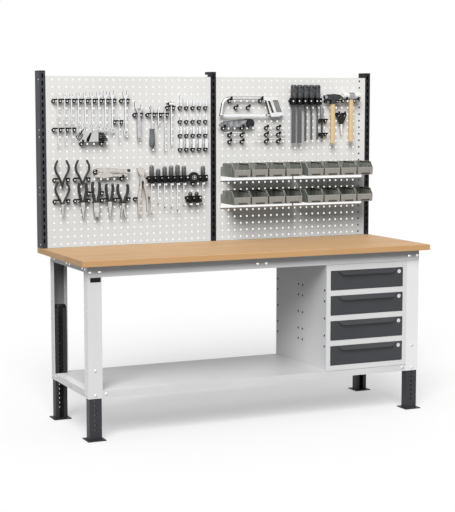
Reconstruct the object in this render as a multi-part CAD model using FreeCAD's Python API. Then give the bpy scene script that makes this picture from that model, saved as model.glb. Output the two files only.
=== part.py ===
import FreeCAD, Part
import math
import os

# Workbench with a cupboard of four drawers, a two-bay pegboard and the tools that hang on it.
# Millimetres. X to the right, Y to the back, Z up. The origin lies on the floor under the middle
# of the worktop. Every piece is built where it stands and saved as parts/<node>.step.

os.makedirs("parts", exist_ok=True)
V = FreeCAD.Vector

# Worktop
TOP_WIDTH = 2000.0
TOP_DEPTH = 750.0
TOP_THICK = 30.0
TOP_HEIGHT = 915.0
TOP_EDGE_RADIUS = 1.5

# Base frame of folded sheet
LEG_WIDTH = 75.0
LEG_DEPTH = 55.0
LEG_SHEET = 2.0
LEG_BOTTOM = 214.0
LEG_INSET = 40.0
FRAME_SETBACK = 50.0
FRAME_DEPTH = 600.0
RAIL_HEIGHT = 36.0
RAIL_FLANGE = 43.0
APRON_HEIGHT = 59.0
APRON_FLANGE = 25.0
BEAM_WIDTH = 90.0
BEAM_HEIGHT = 38.0
SHELF_SHEET = 1.5

# Feet that slide in the legs
FOOT_WIDTH = 66.0
FOOT_DEPTH = 45.0
FOOT_SHEET = 2.5
FOOT_LIP = 20.5
FOOT_TOP = 615.0
FOOT_CLEARANCE = 0.3
FOOT_CORNER = 18.0
FOOT_HOLE_RADIUS = 4.5
FOOT_HOLE_FIRST = 55.0
FOOT_HOLE_PITCH = 25.0
PLATE_SIDE = 95.0
PLATE_THICK = 5.0
PLATE_HOLE_RADIUS = 4.5
PLATE_HOLE_INNER = 17.0
PLATE_HOLE_OUTER = 41.0

# Screws
BOLT_RADIUS = 4.0
BOLT_HEAD_RADIUS = 6.8
BOLT_HEAD_HEIGHT = 3.8
SCREW_CLEARANCE = 0.3

# Uprights and perforated panels
UPRIGHT_WIDTH = 32.0
UPRIGHT_DEPTH = 80.0
UPRIGHT_ABOVE_PANELS = 28.0
UPRIGHT_WALL = 2.0
SLOT_WIDTH = 9.0
SLOT_LENGTH = 23.0
PANEL_PITCH = 304.0
PANEL_GAP = 0.5
PANEL_SIDE_GAP = 1.0
PANEL_ROWS_OF_PANELS = 3
PANEL_SHEET = 1.5
PANEL_SIDE_RETURN = 30.0
PANEL_EDGE_RETURN = 15.0
PERF_PITCH = 38.0
PERF_SIZE = 10.0
PERF_ROWS = 8
PERF_MARGIN = 30.0
PANEL_SCREW_DEPTH = 20.0

# Drawer cupboard
CUPBOARD_WIDTH = 500.0
CUPBOARD_SHEET = 1.5
CUPBOARD_TOP_GAP = 1.0
DRAWER_COUNT = 4
DRAWER_PITCH = 136.0
DRAWER_FIRST = 30.0
FRONT_WIDTH = 446.0
FRONT_HEIGHT = 103.0
FRONT_DEPTH = 20.0
FRONT_SHEET = 1.2
FRONT_GAP = 1.5
FRONT_PROUD = 2.0
WINDOW_RETURN = 15.0
BOX_WIDTH = 430.0
BOX_LENGTH = 560.0
BOX_HEIGHT = 85.0
BOX_LIFT = 6.0
BOX_SHEET = 1.2
RUNNER_LENGTH = 575.0
RUNNER_INNER = 21.0
RUNNER_SHEET = 1.5
RUNNER_ARM = 9.0
SLIDE_CLEARANCE = 0.3
SLIDE_HEIGHT_ABOVE_BOX_FLOOR = 24.0
GRIP_DROP = 22.0
GRIP_PROUD = 17.0
GRIP_HALF_TOP = 183.0
GRIP_HALF_BOTTOM = 137.0
LOCK_FROM_EDGE = 25.0
LOCK_BELOW_TOP = 20.0
LOCK_FACE_RADIUS = 10.5
LOCK_BARREL_RADIUS = 8.7
LOCK_CAM = 16.0

# Storage bins and their rails
BIN_WIDTH = 105.0
BIN_PITCH = 107.0
BIN_DEPTH = 153.0
BIN_HEIGHT = 74.0
BIN_FRONT_HEIGHT = 40.0
BIN_WALL = 2.0
BIN_TAPER = 5.0
BIN_SLOPE = 31.0
RAIL_STRIP = 448.0
RAIL_PROUD = 10.0
LIP_RISE = 54.0

# Tool hooks
BASE_RADIUS = 9.5
SADDLE_BASE_RADIUS = 8.0
HOOK_PROUD = 14.0
HOOK_SCREW_RECESS = 4.4
HOOK_HEAD_SUNK = 3.5
STEM_HALF = 4.5
NARROW_STEM_HALF = 3.0
STEM_RISE = 4.6
ARM_DEPTH = 8.0
TIP_THICK = 7.0
PIN_RADIUS = 3.4
TOOL_OUT = 27.0
SADDLE_OUT = 38.0
SEAT = 13.0
SEAT_GAP = 0.1
LOCK_JAW_REST = 8.0
SAW_SEAT = 8.5
CUTTER_SEAT = 9.0
HAMMER_SEAT = 8.0
LOOP_BORE = 9.0
LOOP_PIN = 5.0
HAMMER_OUT = 40.0
MALLET_OUT = 38.0

# Saddles that hold screwdrivers and files by their necks, to the right of each hook
DRIVER_SADDLE_PROUD = 33.0
DRIVER_BESIDE = 12.0
DRIVER_NECK = 6.0
DRIVER_RING = 11.5
DRIVER_LOW = -24.0
DRIVER_HIGH = 12.0
FILE_SADDLE_PROUD = 25.0
FILE_BESIDE = 8.5
FILE_NECK = 8.5
FILE_RING = 14.0
FILE_LOW = -20.0
FILE_HIGH = 18.0

# Places worked out from the sizes above
HALF_WIDTH = TOP_WIDTH / 2
BACK_EDGE = TOP_DEPTH / 2
UNDER_TOP = TOP_HEIGHT - TOP_THICK
FRAME_FRONT = -TOP_DEPTH / 2 + FRAME_SETBACK
FRAME_REAR = FRAME_FRONT + FRAME_DEPTH
FRAME_MIDDLE = (FRAME_FRONT + FRAME_REAR) / 2
LEG_OUTER = HALF_WIDTH - LEG_INSET
LEG_INNER = LEG_OUTER - LEG_WIDTH
LEG_CENTRE = LEG_OUTER - LEG_WIDTH / 2
PANEL_FACE = BACK_EDGE - UPRIGHT_DEPTH
PANEL_BASE = TOP_HEIGHT + 1.0
PANEL_TOP = PANEL_BASE + PANEL_ROWS_OF_PANELS * PANEL_PITCH
UPRIGHT_TOP = PANEL_TOP + UPRIGHT_ABOVE_PANELS
BAY_WIDTH = (TOP_WIDTH - 3 * UPRIGHT_WIDTH) / 2
PANEL_WIDTH = BAY_WIDTH - 2 * PANEL_SIDE_GAP
PERF_COLUMNS = int((PANEL_WIDTH - 2 * PERF_MARGIN) / PERF_PITCH) + 1
PERF_FIRST = (PANEL_WIDTH - (PERF_COLUMNS - 1) * PERF_PITCH) / 2
BAY_LEFT = -HALF_WIDTH + UPRIGHT_WIDTH + PANEL_SIDE_GAP
BAY_RIGHT = UPRIGHT_WIDTH / 2 + PANEL_SIDE_GAP
SHELF_TOP = LEG_BOTTOM + RAIL_HEIGHT
CUPBOARD_RIGHT = LEG_INNER
CUPBOARD_LEFT = CUPBOARD_RIGHT - CUPBOARD_WIDTH
CUPBOARD_MIDDLE = (CUPBOARD_LEFT + CUPBOARD_RIGHT) / 2
CUPBOARD_TOP = UNDER_TOP - APRON_HEIGHT - CUPBOARD_TOP_GAP
HOOK_FRONT = PANEL_FACE - HOOK_PROUD
TOOL_Y = PANEL_FACE - TOOL_OUT
SADDLE_Y = PANEL_FACE - SADDLE_OUT
HAMMER_Y = PANEL_FACE - HAMMER_OUT
MALLET_Y = PANEL_FACE - MALLET_OUT


def box(x0, x1, y0, y1, z0, z1):
    return Part.makeBox(x1 - x0, y1 - y0, z1 - z0, V(x0, y0, z0))


def rod_x(x0, x1, y, z, radius):
    return Part.makeCylinder(radius, x1 - x0, V(x0, y, z), V(1, 0, 0))


def rod_y(x, y0, y1, z, radius):
    return Part.makeCylinder(radius, y1 - y0, V(x, y0, z), V(0, 1, 0))


def rod_z(x, y, z0, z1, radius):
    return Part.makeCylinder(radius, z1 - z0, V(x, y, z0), V(0, 0, 1))


def cone_z(x, y, z0, z1, radius_low, radius_high):
    return Part.makeCone(radius_low, radius_high, z1 - z0, V(x, y, z0), V(0, 0, 1))


def fuse(shapes):
    joined = shapes[0].multiFuse(shapes[1:])
    return joined.removeSplitter()


def plate_xz(points, y0, y1):
    corners = [V(x, y0, z) for x, z in points]
    outline = Part.makePolygon(corners + [corners[0]])
    return Part.Face(outline).extrude(V(0, y1 - y0, 0))


def plate_yz(points, x0, x1):
    corners = [V(x0, y, z) for y, z in points]
    outline = Part.makePolygon(corners + [corners[0]])
    return Part.Face(outline).extrude(V(x1 - x0, 0, 0))


def turned_z(profile, x, y):
    corners = [V(x + radius, y, z) for radius, z in profile]
    outline = Part.makePolygon(corners + [corners[0]])
    return Part.Face(outline).revolve(V(x, y, 0), V(0, 0, 1), 360)


def bent_rod(points, radius):
    # A round bar of straight runs and tangent bends, with tapered ends.
    corners = [V(*point) for point in points]
    begin = corners[0]
    edges = []
    for before, corner, after in zip(corners, corners[1:], corners[2:]):
        trim = min((before - corner).Length, (after - corner).Length) * 0.45
        back = (before - corner).normalize()
        ahead = (after - corner).normalize()
        half = back.getAngle(ahead) / 2
        inward = (back + ahead).normalize()
        middle = corner + inward * (trim / math.cos(half) - trim * math.tan(half))
        edges.append(Part.makeLine(begin, corner + back * trim))
        edges.append(Part.Arc(corner + back * trim, middle, corner + ahead * trim).toShape())
        begin = corner + ahead * trim
    edges.append(Part.makeLine(begin, corners[-1]))
    start_heading = (corners[0] - corners[1]).normalize()
    end_heading = (corners[-1] - corners[-2]).normalize()
    section = Part.Wire([Part.makeCircle(radius, corners[0], start_heading)])
    swept = Part.Wire(edges).makePipeShell([section], True, True)
    caps = [Part.makeCone(radius, radius * 0.5, radius * 0.7, corners[0], start_heading),
            Part.makeCone(radius, radius * 0.5, radius * 0.7, corners[-1], end_heading)]
    return fuse([swept] + caps)


def mirrored_x(shape):
    return shape.mirror(V(0, 0, 0), V(1, 0, 0))


def mirrored_y(shape):
    return shape.mirror(V(0, FRAME_MIDDLE, 0), V(0, 1, 0))


def save(node, shapes):
    solids = [solid for shape in shapes for solid in shape.Solids]
    result = solids[0] if len(solids) == 1 else Part.makeCompound(solids)
    result.exportStep("parts/" + node + ".step")


def column_x(bay, column):
    return bay + PERF_FIRST + PERF_PITCH * column


def row_z(row):
    return PANEL_TOP - PERF_PITCH / 2 - PERF_PITCH * row


def hex_prism(centre, across, axis, height):
    corners = []
    side = V(axis.z, axis.x, axis.y)
    up = axis.cross(side)
    for step in range(7):
        angle = math.radians(60 * step)
        reach = across / math.sqrt(3)
        corners.append(centre + side * (reach * math.cos(angle)) + up * (reach * math.sin(angle)))
    return Part.Face(Part.makePolygon(corners)).extrude(axis * height)


def bolt(seat, outward, shank):
    # Button head with a hexagon socket, standing on the seat point; the shank goes the other way.
    half = BOLT_HEAD_HEIGHT / 2
    head = Part.makeCylinder(BOLT_HEAD_RADIUS, half, seat, outward)
    dome = Part.makeCone(BOLT_HEAD_RADIUS, BOLT_RADIUS, half, seat + outward * half, outward)
    body = Part.makeCylinder(BOLT_RADIUS, shank, seat - outward * shank, outward)
    socket = hex_prism(seat + outward * (BOLT_HEAD_HEIGHT - 2.0), 5.0, outward, 3.0)
    return fuse([head, dome, body]).cut(socket)


# Worktop: one beech board with eased edges.
def make_worktop():
    board = box(-HALF_WIDTH, HALF_WIDTH, -TOP_DEPTH / 2, BACK_EDGE, UNDER_TOP, TOP_HEIGHT)
    upper = [edge for edge in board.Edges if edge.BoundBox.ZMin > TOP_HEIGHT - 1]
    return board.makeFillet(TOP_EDGE_RADIUS, upper)


# Legs: channels that open towards the middle of the frame, so the feet can slide in them.
FLANGE_HOLE_HEIGHTS = (389.0, 541.0, 634.0, 694.0, 805.0)
FOOT_BOLT_HEIGHTS = (FOOT_HOLE_FIRST + 7 * FOOT_HOLE_PITCH, FOOT_HOLE_FIRST + 12 * FOOT_HOLE_PITCH)
APRON_BOLT_Z = UNDER_TOP - 31.0
APRON_BOLT_OUTER = LEG_OUTER - 12.0
APRON_BOLT_INNER = LEG_INNER + 12.0
APRON_BOLT_MIDDLE = 25.0
FLANGE_BOLT_FRONT = FRAME_FRONT + 29.0
FLANGE_BOLT_REAR = FRAME_REAR - 15.0
RAIL_BOLT_FRONT = FRAME_FRONT + 75.0
RAIL_BOLT_REAR = FRAME_REAR - 65.0
SIDE_BOLT_DEPTHS = (FLANGE_BOLT_FRONT, RAIL_BOLT_FRONT, FRAME_MIDDLE - 20.0,
                    FRAME_MIDDLE + 30.0, RAIL_BOLT_REAR, FLANGE_BOLT_REAR)
SHELF_BOLT_X = LEG_INNER - 21.0
SHELF_BOLT_Z = LEG_BOTTOM + 20.0
LOW_BOLT_Z = LEG_BOTTOM + RAIL_HEIGHT / 2
HIGH_BOLT_Z = UNDER_TOP - RAIL_HEIGHT / 2


def make_front_left_leg(flange_bolt_y):
    back = FRAME_FRONT + LEG_DEPTH
    outer = box(-LEG_OUTER, -LEG_INNER, FRAME_FRONT, back, LEG_BOTTOM, UNDER_TOP)
    inner = box(-LEG_OUTER + LEG_SHEET, -LEG_INNER - LEG_SHEET, FRAME_FRONT + LEG_SHEET,
                back + 1, LEG_BOTTOM - 1, UNDER_TOP + 1)
    leg = outer.cut(inner)
    holes = []
    hole = BOLT_RADIUS + SCREW_CLEARANCE
    for z in FOOT_BOLT_HEIGHTS:
        holes.append(rod_y(-LEG_CENTRE, FRAME_FRONT - 1, FRAME_FRONT + LEG_SHEET + 1, z, hole))
    for x in (APRON_BOLT_OUTER, APRON_BOLT_INNER):
        holes.append(rod_y(-x, FRAME_FRONT - 1, FRAME_FRONT + LEG_SHEET + 1, APRON_BOLT_Z, hole))
    for z in FLANGE_HOLE_HEIGHTS:
        holes.append(rod_x(-LEG_OUTER - 1, -LEG_INNER + 1, flange_bolt_y, z, hole))
    for z in (LOW_BOLT_Z, HIGH_BOLT_Z):
        holes.append(rod_x(-LEG_OUTER - 1, -LEG_CENTRE, flange_bolt_y, z, hole))
    return leg.cut(holes)


# Feet: lipped channels with a row of height holes, welded to a base plate.
def make_front_left_foot():
    front = FRAME_FRONT + LEG_SHEET + FOOT_CLEARANCE
    back = front + FOOT_DEPTH
    left = -LEG_CENTRE - FOOT_WIDTH / 2
    right = -LEG_CENTRE + FOOT_WIDTH / 2
    outer = box(left, right, front, back, PLATE_THICK, FOOT_TOP)
    inner = box(left + FOOT_SHEET, right - FOOT_SHEET, front + FOOT_SHEET, back - FOOT_SHEET,
                PLATE_THICK - 1, FOOT_TOP + 1)
    gap = box(left + FOOT_LIP, right - FOOT_LIP, back - FOOT_SHEET - 1, back + 1,
              PLATE_THICK - 1, FOOT_TOP + 1)
    corner = plate_yz([(back + 1, FOOT_TOP + 1), (back + 1, FOOT_TOP - FOOT_CORNER),
                       (back - FOOT_CORNER, FOOT_TOP + 1)], left - 1, right + 1)
    holes = []
    z = FOOT_HOLE_FIRST
    while z < FOOT_TOP - FOOT_HOLE_RADIUS:
        holes.append(rod_y(-LEG_CENTRE, front - 1, front + FOOT_SHEET + 1, z, FOOT_HOLE_RADIUS))
        z = z + FOOT_HOLE_PITCH
    channel = outer.cut([inner, gap, corner] + holes)
    middle = (front + back) / 2
    half = PLATE_SIDE / 2
    plate = box(-LEG_CENTRE - half, -LEG_CENTRE + half, middle - half, middle + half, 0, PLATE_THICK)
    anchors = []
    for offset in (-PLATE_HOLE_OUTER, -PLATE_HOLE_INNER, PLATE_HOLE_INNER, PLATE_HOLE_OUTER):
        anchors.append(rod_z(-LEG_CENTRE + offset, middle, -1, PLATE_THICK + 1, PLATE_HOLE_RADIUS))
    return fuse([channel, plate.cut(anchors)])


# Side rails: C channels inside the outer flange of the legs.
def make_left_side_rail(bottom):
    outer_x = -LEG_OUTER + LEG_SHEET
    inner_x = outer_x + LEG_SHEET + RAIL_FLANGE
    top = bottom + RAIL_HEIGHT
    web = box(outer_x, outer_x + LEG_SHEET, FRAME_FRONT + LEG_SHEET, FRAME_REAR - LEG_SHEET,
              bottom, top)
    start = FRAME_FRONT + LEG_DEPTH + FRONT_GAP
    end = FRAME_REAR - LEG_DEPTH - FRONT_GAP
    low = box(outer_x, inner_x, start, end, bottom, bottom + LEG_SHEET)
    high = box(outer_x, inner_x, start, end, top - LEG_SHEET, top)
    hole = BOLT_RADIUS + SCREW_CLEARANCE
    middle = bottom + RAIL_HEIGHT / 2
    holes = [rod_x(outer_x - 1, outer_x + 4, y, middle, hole) for y in SIDE_BOLT_DEPTHS]
    return fuse([web, low, high]).cut(holes)


# Front and rear rails: they lie over the leg webs and carry flanges between the legs.
def make_front_rail():
    face = box(-LEG_OUTER, LEG_OUTER, FRAME_FRONT - LEG_SHEET, FRAME_FRONT,
               UNDER_TOP - APRON_HEIGHT, UNDER_TOP)
    back = FRAME_FRONT + APRON_FLANGE
    high = box(-LEG_INNER, LEG_INNER, FRAME_FRONT, back, UNDER_TOP - LEG_SHEET, UNDER_TOP)
    floor = UNDER_TOP - APRON_HEIGHT
    low = box(-LEG_INNER, LEG_INNER, FRAME_FRONT, back, floor, floor + LEG_SHEET)
    holes = []
    for x in (APRON_BOLT_OUTER, APRON_BOLT_INNER, APRON_BOLT_MIDDLE):
        for side in (-1, 1):
            holes.append(rod_y(side * x, FRAME_FRONT - 4, FRAME_FRONT + 1, APRON_BOLT_Z,
                               BOLT_RADIUS + SCREW_CLEARANCE))
    return fuse([face, high, low]).cut(holes)


# Cross beam under the worktop, closed at both ends where the middle bolts go in.
def make_cross_beam():
    top = UNDER_TOP - LEG_SHEET
    half = BEAM_WIDTH / 2
    outer = box(-half, half, FRAME_FRONT, FRAME_REAR, top - BEAM_HEIGHT, top)
    inner = box(-half + LEG_SHEET, half - LEG_SHEET, FRAME_FRONT + LEG_SHEET,
                FRAME_REAR - LEG_SHEET, top - BEAM_HEIGHT - 1, top - LEG_SHEET)
    holes = []
    for x in (-APRON_BOLT_MIDDLE, APRON_BOLT_MIDDLE):
        holes.append(rod_y(x, FRAME_FRONT - 1, FRAME_REAR + 1, APRON_BOLT_Z,
                           BOLT_RADIUS + SCREW_CLEARANCE))
    return outer.cut([inner] + holes)


# Bottom shelf: a tray with folded lips, notched round the legs.
def make_bottom_shelf():
    side = LEG_OUTER - 2 * LEG_SHEET - RAIL_FLANGE
    front = FRAME_FRONT + LEG_SHEET
    rear = FRAME_REAR - LEG_SHEET
    notch_front = FRAME_FRONT + LEG_DEPTH + FRONT_GAP
    notch_rear = FRAME_REAR - LEG_DEPTH - FRONT_GAP
    between = box(-LEG_INNER, LEG_INNER, front, rear, LEG_BOTTOM, SHELF_TOP)
    wide = box(-side, side, notch_front, notch_rear, LEG_BOTTOM, SHELF_TOP)
    under = SHELF_TOP - SHELF_SHEET
    hollow = box(-LEG_INNER + SHELF_SHEET, LEG_INNER - SHELF_SHEET, front + SHELF_SHEET,
                 rear - SHELF_SHEET, LEG_BOTTOM - 1, under)
    hollow_wide = box(-side + SHELF_SHEET, side - SHELF_SHEET, notch_front + SHELF_SHEET,
                      notch_rear - SHELF_SHEET, LEG_BOTTOM - 1, under)
    holes = []
    for x in (-SHELF_BOLT_X, SHELF_BOLT_X):
        holes.append(rod_y(x, front - 1, front + 3, SHELF_BOLT_Z, BOLT_RADIUS + SCREW_CLEARANCE))
        holes.append(rod_y(x, rear - 3, rear + 1, SHELF_BOLT_Z, BOLT_RADIUS + SCREW_CLEARANCE))
    return fuse([between, wide]).cut([fuse([hollow, hollow_wide])] + holes)


# All M8 bolts of the frame. The foot bolts end flush with the leg so the feet can slide.
def make_frame_bolts():
    bolts = []
    forward = V(0, -1, 0)
    backward = V(0, 1, 0)
    for side in (-1, 1):
        for z in FOOT_BOLT_HEIGHTS:
            bolts.append(bolt(V(side * LEG_CENTRE, FRAME_FRONT, z), forward, LEG_SHEET))
            bolts.append(bolt(V(side * LEG_CENTRE, FRAME_REAR, z), backward, LEG_SHEET))
        for x in (APRON_BOLT_OUTER, APRON_BOLT_INNER, APRON_BOLT_MIDDLE):
            front = V(side * x, FRAME_FRONT - LEG_SHEET, APRON_BOLT_Z)
            rear = V(side * x, FRAME_REAR + LEG_SHEET, APRON_BOLT_Z)
            bolts.append(bolt(front, forward, 12.0))
            bolts.append(bolt(rear, backward, 12.0))
        for z in (LOW_BOLT_Z, HIGH_BOLT_Z):
            for y in (FLANGE_BOLT_FRONT, FLANGE_BOLT_REAR):
                bolts.append(bolt(V(side * LEG_OUTER, y, z), V(side, 0, 0), 2 * LEG_SHEET))
            for y in SIDE_BOLT_DEPTHS[1:5]:
                seat = V(side * (LEG_OUTER - LEG_SHEET), y, z)
                bolts.append(bolt(seat, V(side, 0, 0), 12.0))
        bolts.append(bolt(V(side * SHELF_BOLT_X, FRAME_FRONT + LEG_SHEET, SHELF_BOLT_Z),
                          forward, 10.0))
        bolts.append(bolt(V(side * SHELF_BOLT_X, FRAME_REAR - LEG_SHEET, SHELF_BOLT_Z),
                          backward, 10.0))
    return bolts


# Blank rating plate on the front left leg.
def make_label_plate():
    return box(-LEG_CENTRE - 22.5, -LEG_CENTRE + 32.5, FRAME_FRONT - 1.0, FRAME_FRONT,
               UNDER_TOP - APRON_HEIGHT - 24.0, UNDER_TOP - APRON_HEIGHT - 2.0)


# Uprights: closed tubes with a row of slots in the front and a capped top.
def make_upright(centre, window):
    half = UPRIGHT_WIDTH / 2
    wall = UPRIGHT_WALL
    outer = box(centre - half, centre + half, PANEL_FACE, BACK_EDGE, TOP_HEIGHT, UPRIGHT_TOP)
    inner = box(centre - half + wall, centre + half - wall, PANEL_FACE + wall, BACK_EDGE - wall,
                TOP_HEIGHT + 3, UPRIGHT_TOP - 4)
    cuts = [inner]
    z = PANEL_TOP
    while z - SLOT_LENGTH > TOP_HEIGHT:
        cuts.append(box(centre - SLOT_WIDTH / 2, centre + SLOT_WIDTH / 2, PANEL_FACE - 1,
                        PANEL_FACE + wall + 1, z - SLOT_LENGTH / 2, z + SLOT_LENGTH / 2))
        z = z - PERF_PITCH
    seam = box(centre - half - 1, centre + half + 1, PANEL_FACE - 1, BACK_EDGE + 1,
               UPRIGHT_TOP - 6.5, UPRIGHT_TOP - 5.5)
    core = box(centre - half + 0.6, centre + half - 0.6, PANEL_FACE + 0.6, BACK_EDGE - 0.6,
               UPRIGHT_TOP - 7, UPRIGHT_TOP - 5)
    cuts.append(seam.cut(core))
    for z in panel_screw_heights():
        y = PANEL_FACE + PANEL_SCREW_DEPTH
        cuts.append(rod_x(centre - half - 1, centre + half + 1, y, z, 2.5 + SCREW_CLEARANCE))
        if centre < 0:
            cuts.append(rod_x(centre - half - 1, centre - half + wall, y, z, 4.8))
        if centre > 0:
            cuts.append(rod_x(centre + half - wall, centre + half + 1, y, z, 4.8))
    if window:
        cuts.append(box(centre - half - 1, centre, PANEL_FACE + 43, BACK_EDGE + 1,
                        PANEL_TOP + 2, PANEL_TOP + 13))
    return outer.cut(cuts)


def panel_screw_heights():
    heights = []
    for panel in range(PANEL_ROWS_OF_PANELS):
        heights.append(row_z(panel * PERF_ROWS))
        heights.append(row_z(panel * PERF_ROWS + PERF_ROWS - 1))
    return heights


# Perforated panels: folded sheet with square holes.
def make_panel(bay, bottom):
    left = bay
    right = bay + PANEL_WIDTH
    top = bottom + PANEL_PITCH - PANEL_GAP
    frame = [V(left, PANEL_FACE, bottom), V(right, PANEL_FACE, bottom),
             V(right, PANEL_FACE, top), V(left, PANEL_FACE, top), V(left, PANEL_FACE, bottom)]
    wires = [Part.makePolygon(frame)]
    half = PERF_SIZE / 2
    first_row = bottom + PANEL_PITCH - PERF_PITCH / 2
    for row in range(PERF_ROWS):
        for column in range(PERF_COLUMNS):
            x = column_x(bay, column)
            z = first_row - PERF_PITCH * row
            hole = [V(x - half, PANEL_FACE, z - half), V(x - half, PANEL_FACE, z + half),
                    V(x + half, PANEL_FACE, z + half), V(x + half, PANEL_FACE, z - half),
                    V(x - half, PANEL_FACE, z - half)]
            wires.append(Part.makePolygon(hole))
    sheet = Part.Face(wires).extrude(V(0, PANEL_SHEET, 0))
    start = PANEL_FACE + PANEL_SHEET
    deep = PANEL_FACE + PANEL_SIDE_RETURN
    shallow = PANEL_FACE + PANEL_EDGE_RETURN
    y = PANEL_FACE + PANEL_SCREW_DEPTH
    returns = [box(left, left + PANEL_SHEET, start, deep, bottom, top),
               box(right - PANEL_SHEET, right, start, deep, bottom, top),
               box(left, right, start, shallow, bottom, bottom + PANEL_SHEET),
               box(left, right, start, shallow, top - PANEL_SHEET, top)]
    holes = []
    for row in (0, PERF_ROWS - 1):
        z = first_row - PERF_PITCH * row
        holes.append(rod_x(left - 1, left + 3, y, z, 2.5 + SCREW_CLEARANCE))
        holes.append(rod_x(right - 3, right + 1, y, z, 2.5 + SCREW_CLEARANCE))
    return fuse([sheet] + returns).cut(holes)


# Screws of the panels and of the tool hooks.
def make_panel_screws(hook_places):
    screws = []
    y = PANEL_FACE + PANEL_SCREW_DEPTH
    for z in panel_screw_heights():
        for side in (-1, 1):
            head = rod_x(-HALF_WIDTH, -HALF_WIDTH + UPRIGHT_WALL, y, z, 4.5)
            shank = rod_x(-HALF_WIDTH, BAY_LEFT + 6, y, z, 2.5)
            screw = fuse([head, shank])
            screws.append(screw if side < 0 else mirrored_x(screw))
        inner = BAY_RIGHT + PANEL_SHEET
        head = rod_x(-inner - 3, -inner, y, z, 4.5)
        shank = rod_x(-inner, inner + 6, y, z, 2.5)
        screws.append(fuse([head, shank]))
    for x, z, front in hook_places:
        head = rod_y(x, front + 1.0, front + HOOK_HEAD_SUNK, z, 4.0)
        shank = rod_y(x, front + 3.0, PANEL_FACE + 6, z, 2.0)
        screws.append(fuse([head, shank]))
    return screws


# Cupboard: folded shell, front frame with four windows, and fixed runners.
SHELL_FRONT = FRAME_FRONT + CUPBOARD_SHEET
SIDE_HOLE_HEIGHTS = (383.0, 442.0, 535.0, 628.0, 687.0)
SIDE_HOLE_DEPTHS = (FRAME_MIDDLE - 280, FRAME_MIDDLE - 25, FRAME_MIDDLE + 25, FRAME_MIDDLE + 280)


def drawer_bottom(index):
    return SHELF_TOP + DRAWER_FIRST + DRAWER_PITCH * index


def make_cupboard_shell():
    outer = box(CUPBOARD_LEFT, CUPBOARD_RIGHT, SHELL_FRONT, FRAME_REAR, SHELF_TOP, CUPBOARD_TOP)
    inner = box(CUPBOARD_LEFT + CUPBOARD_SHEET, CUPBOARD_RIGHT - CUPBOARD_SHEET, SHELL_FRONT - 1,
                FRAME_REAR - CUPBOARD_SHEET, SHELF_TOP + CUPBOARD_SHEET,
                CUPBOARD_TOP - CUPBOARD_SHEET)
    holes = []
    for y in SIDE_HOLE_DEPTHS:
        for z in SIDE_HOLE_HEIGHTS:
            holes.append(rod_x(CUPBOARD_LEFT - 1, CUPBOARD_LEFT + 3, y, z, 3.5))
            holes.append(rod_x(CUPBOARD_RIGHT - 3, CUPBOARD_RIGHT + 1, y, z, 3.5))
    return outer.cut([inner] + holes)


def make_cupboard_front():
    sheet = box(CUPBOARD_LEFT, CUPBOARD_RIGHT, FRAME_FRONT, SHELL_FRONT, SHELF_TOP, CUPBOARD_TOP)
    half = FRONT_WIDTH / 2 + FRONT_GAP
    sleeves = []
    windows = []
    for index in range(DRAWER_COUNT):
        low = drawer_bottom(index) - FRONT_GAP
        high = drawer_bottom(index) + FRONT_HEIGHT + FRONT_GAP
        fold = CUPBOARD_SHEET
        sleeves.append(box(CUPBOARD_MIDDLE - half - fold, CUPBOARD_MIDDLE + half + fold,
                           FRAME_FRONT, FRAME_FRONT + WINDOW_RETURN, low - fold, high + fold))
        windows.append(box(CUPBOARD_MIDDLE - half, CUPBOARD_MIDDLE + half, FRAME_FRONT - 1,
                           FRAME_FRONT + WINDOW_RETURN + 1, low, high))
    return fuse([sheet] + sleeves).cut(windows)


def make_runners():
    pieces = []
    start = FRAME_FRONT - FRONT_PROUD + FRONT_DEPTH + 1
    end = start + RUNNER_LENGTH
    web_x = CUPBOARD_MIDDLE - FRONT_WIDTH / 2 - RUNNER_SHEET - 1.5
    wall_x = CUPBOARD_LEFT + CUPBOARD_SHEET
    for index in range(DRAWER_COUNT):
        middle = drawer_bottom(index) + BOX_LIFT + SLIDE_HEIGHT_ABOVE_BOX_FLOOR
        low = middle - RUNNER_INNER / 2
        high = middle + RUNNER_INNER / 2
        web = box(web_x, web_x + RUNNER_SHEET, start, end, low - RUNNER_SHEET, high + RUNNER_SHEET)
        arms = [box(web_x, web_x + RUNNER_SHEET + RUNNER_ARM, start, end, low - RUNNER_SHEET, low),
                box(web_x, web_x + RUNNER_SHEET + RUNNER_ARM, start, end, high,
                    high + RUNNER_SHEET)]
        brackets = []
        for y in (start + 20, (start + end) / 2 - 20, end - 60):
            solid = box(wall_x, web_x, y, y + 40, low, high)
            hollow = box(wall_x + RUNNER_SHEET, web_x - RUNNER_SHEET, y - 1, y + 41,
                         low + RUNNER_SHEET, high + 1)
            brackets.append(solid.cut(hollow))
        left = fuse([web] + arms + brackets)
        pieces.append(left)
        pieces.append(left.mirror(V(CUPBOARD_MIDDLE, 0, 0), V(1, 0, 0)))
    return pieces


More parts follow.
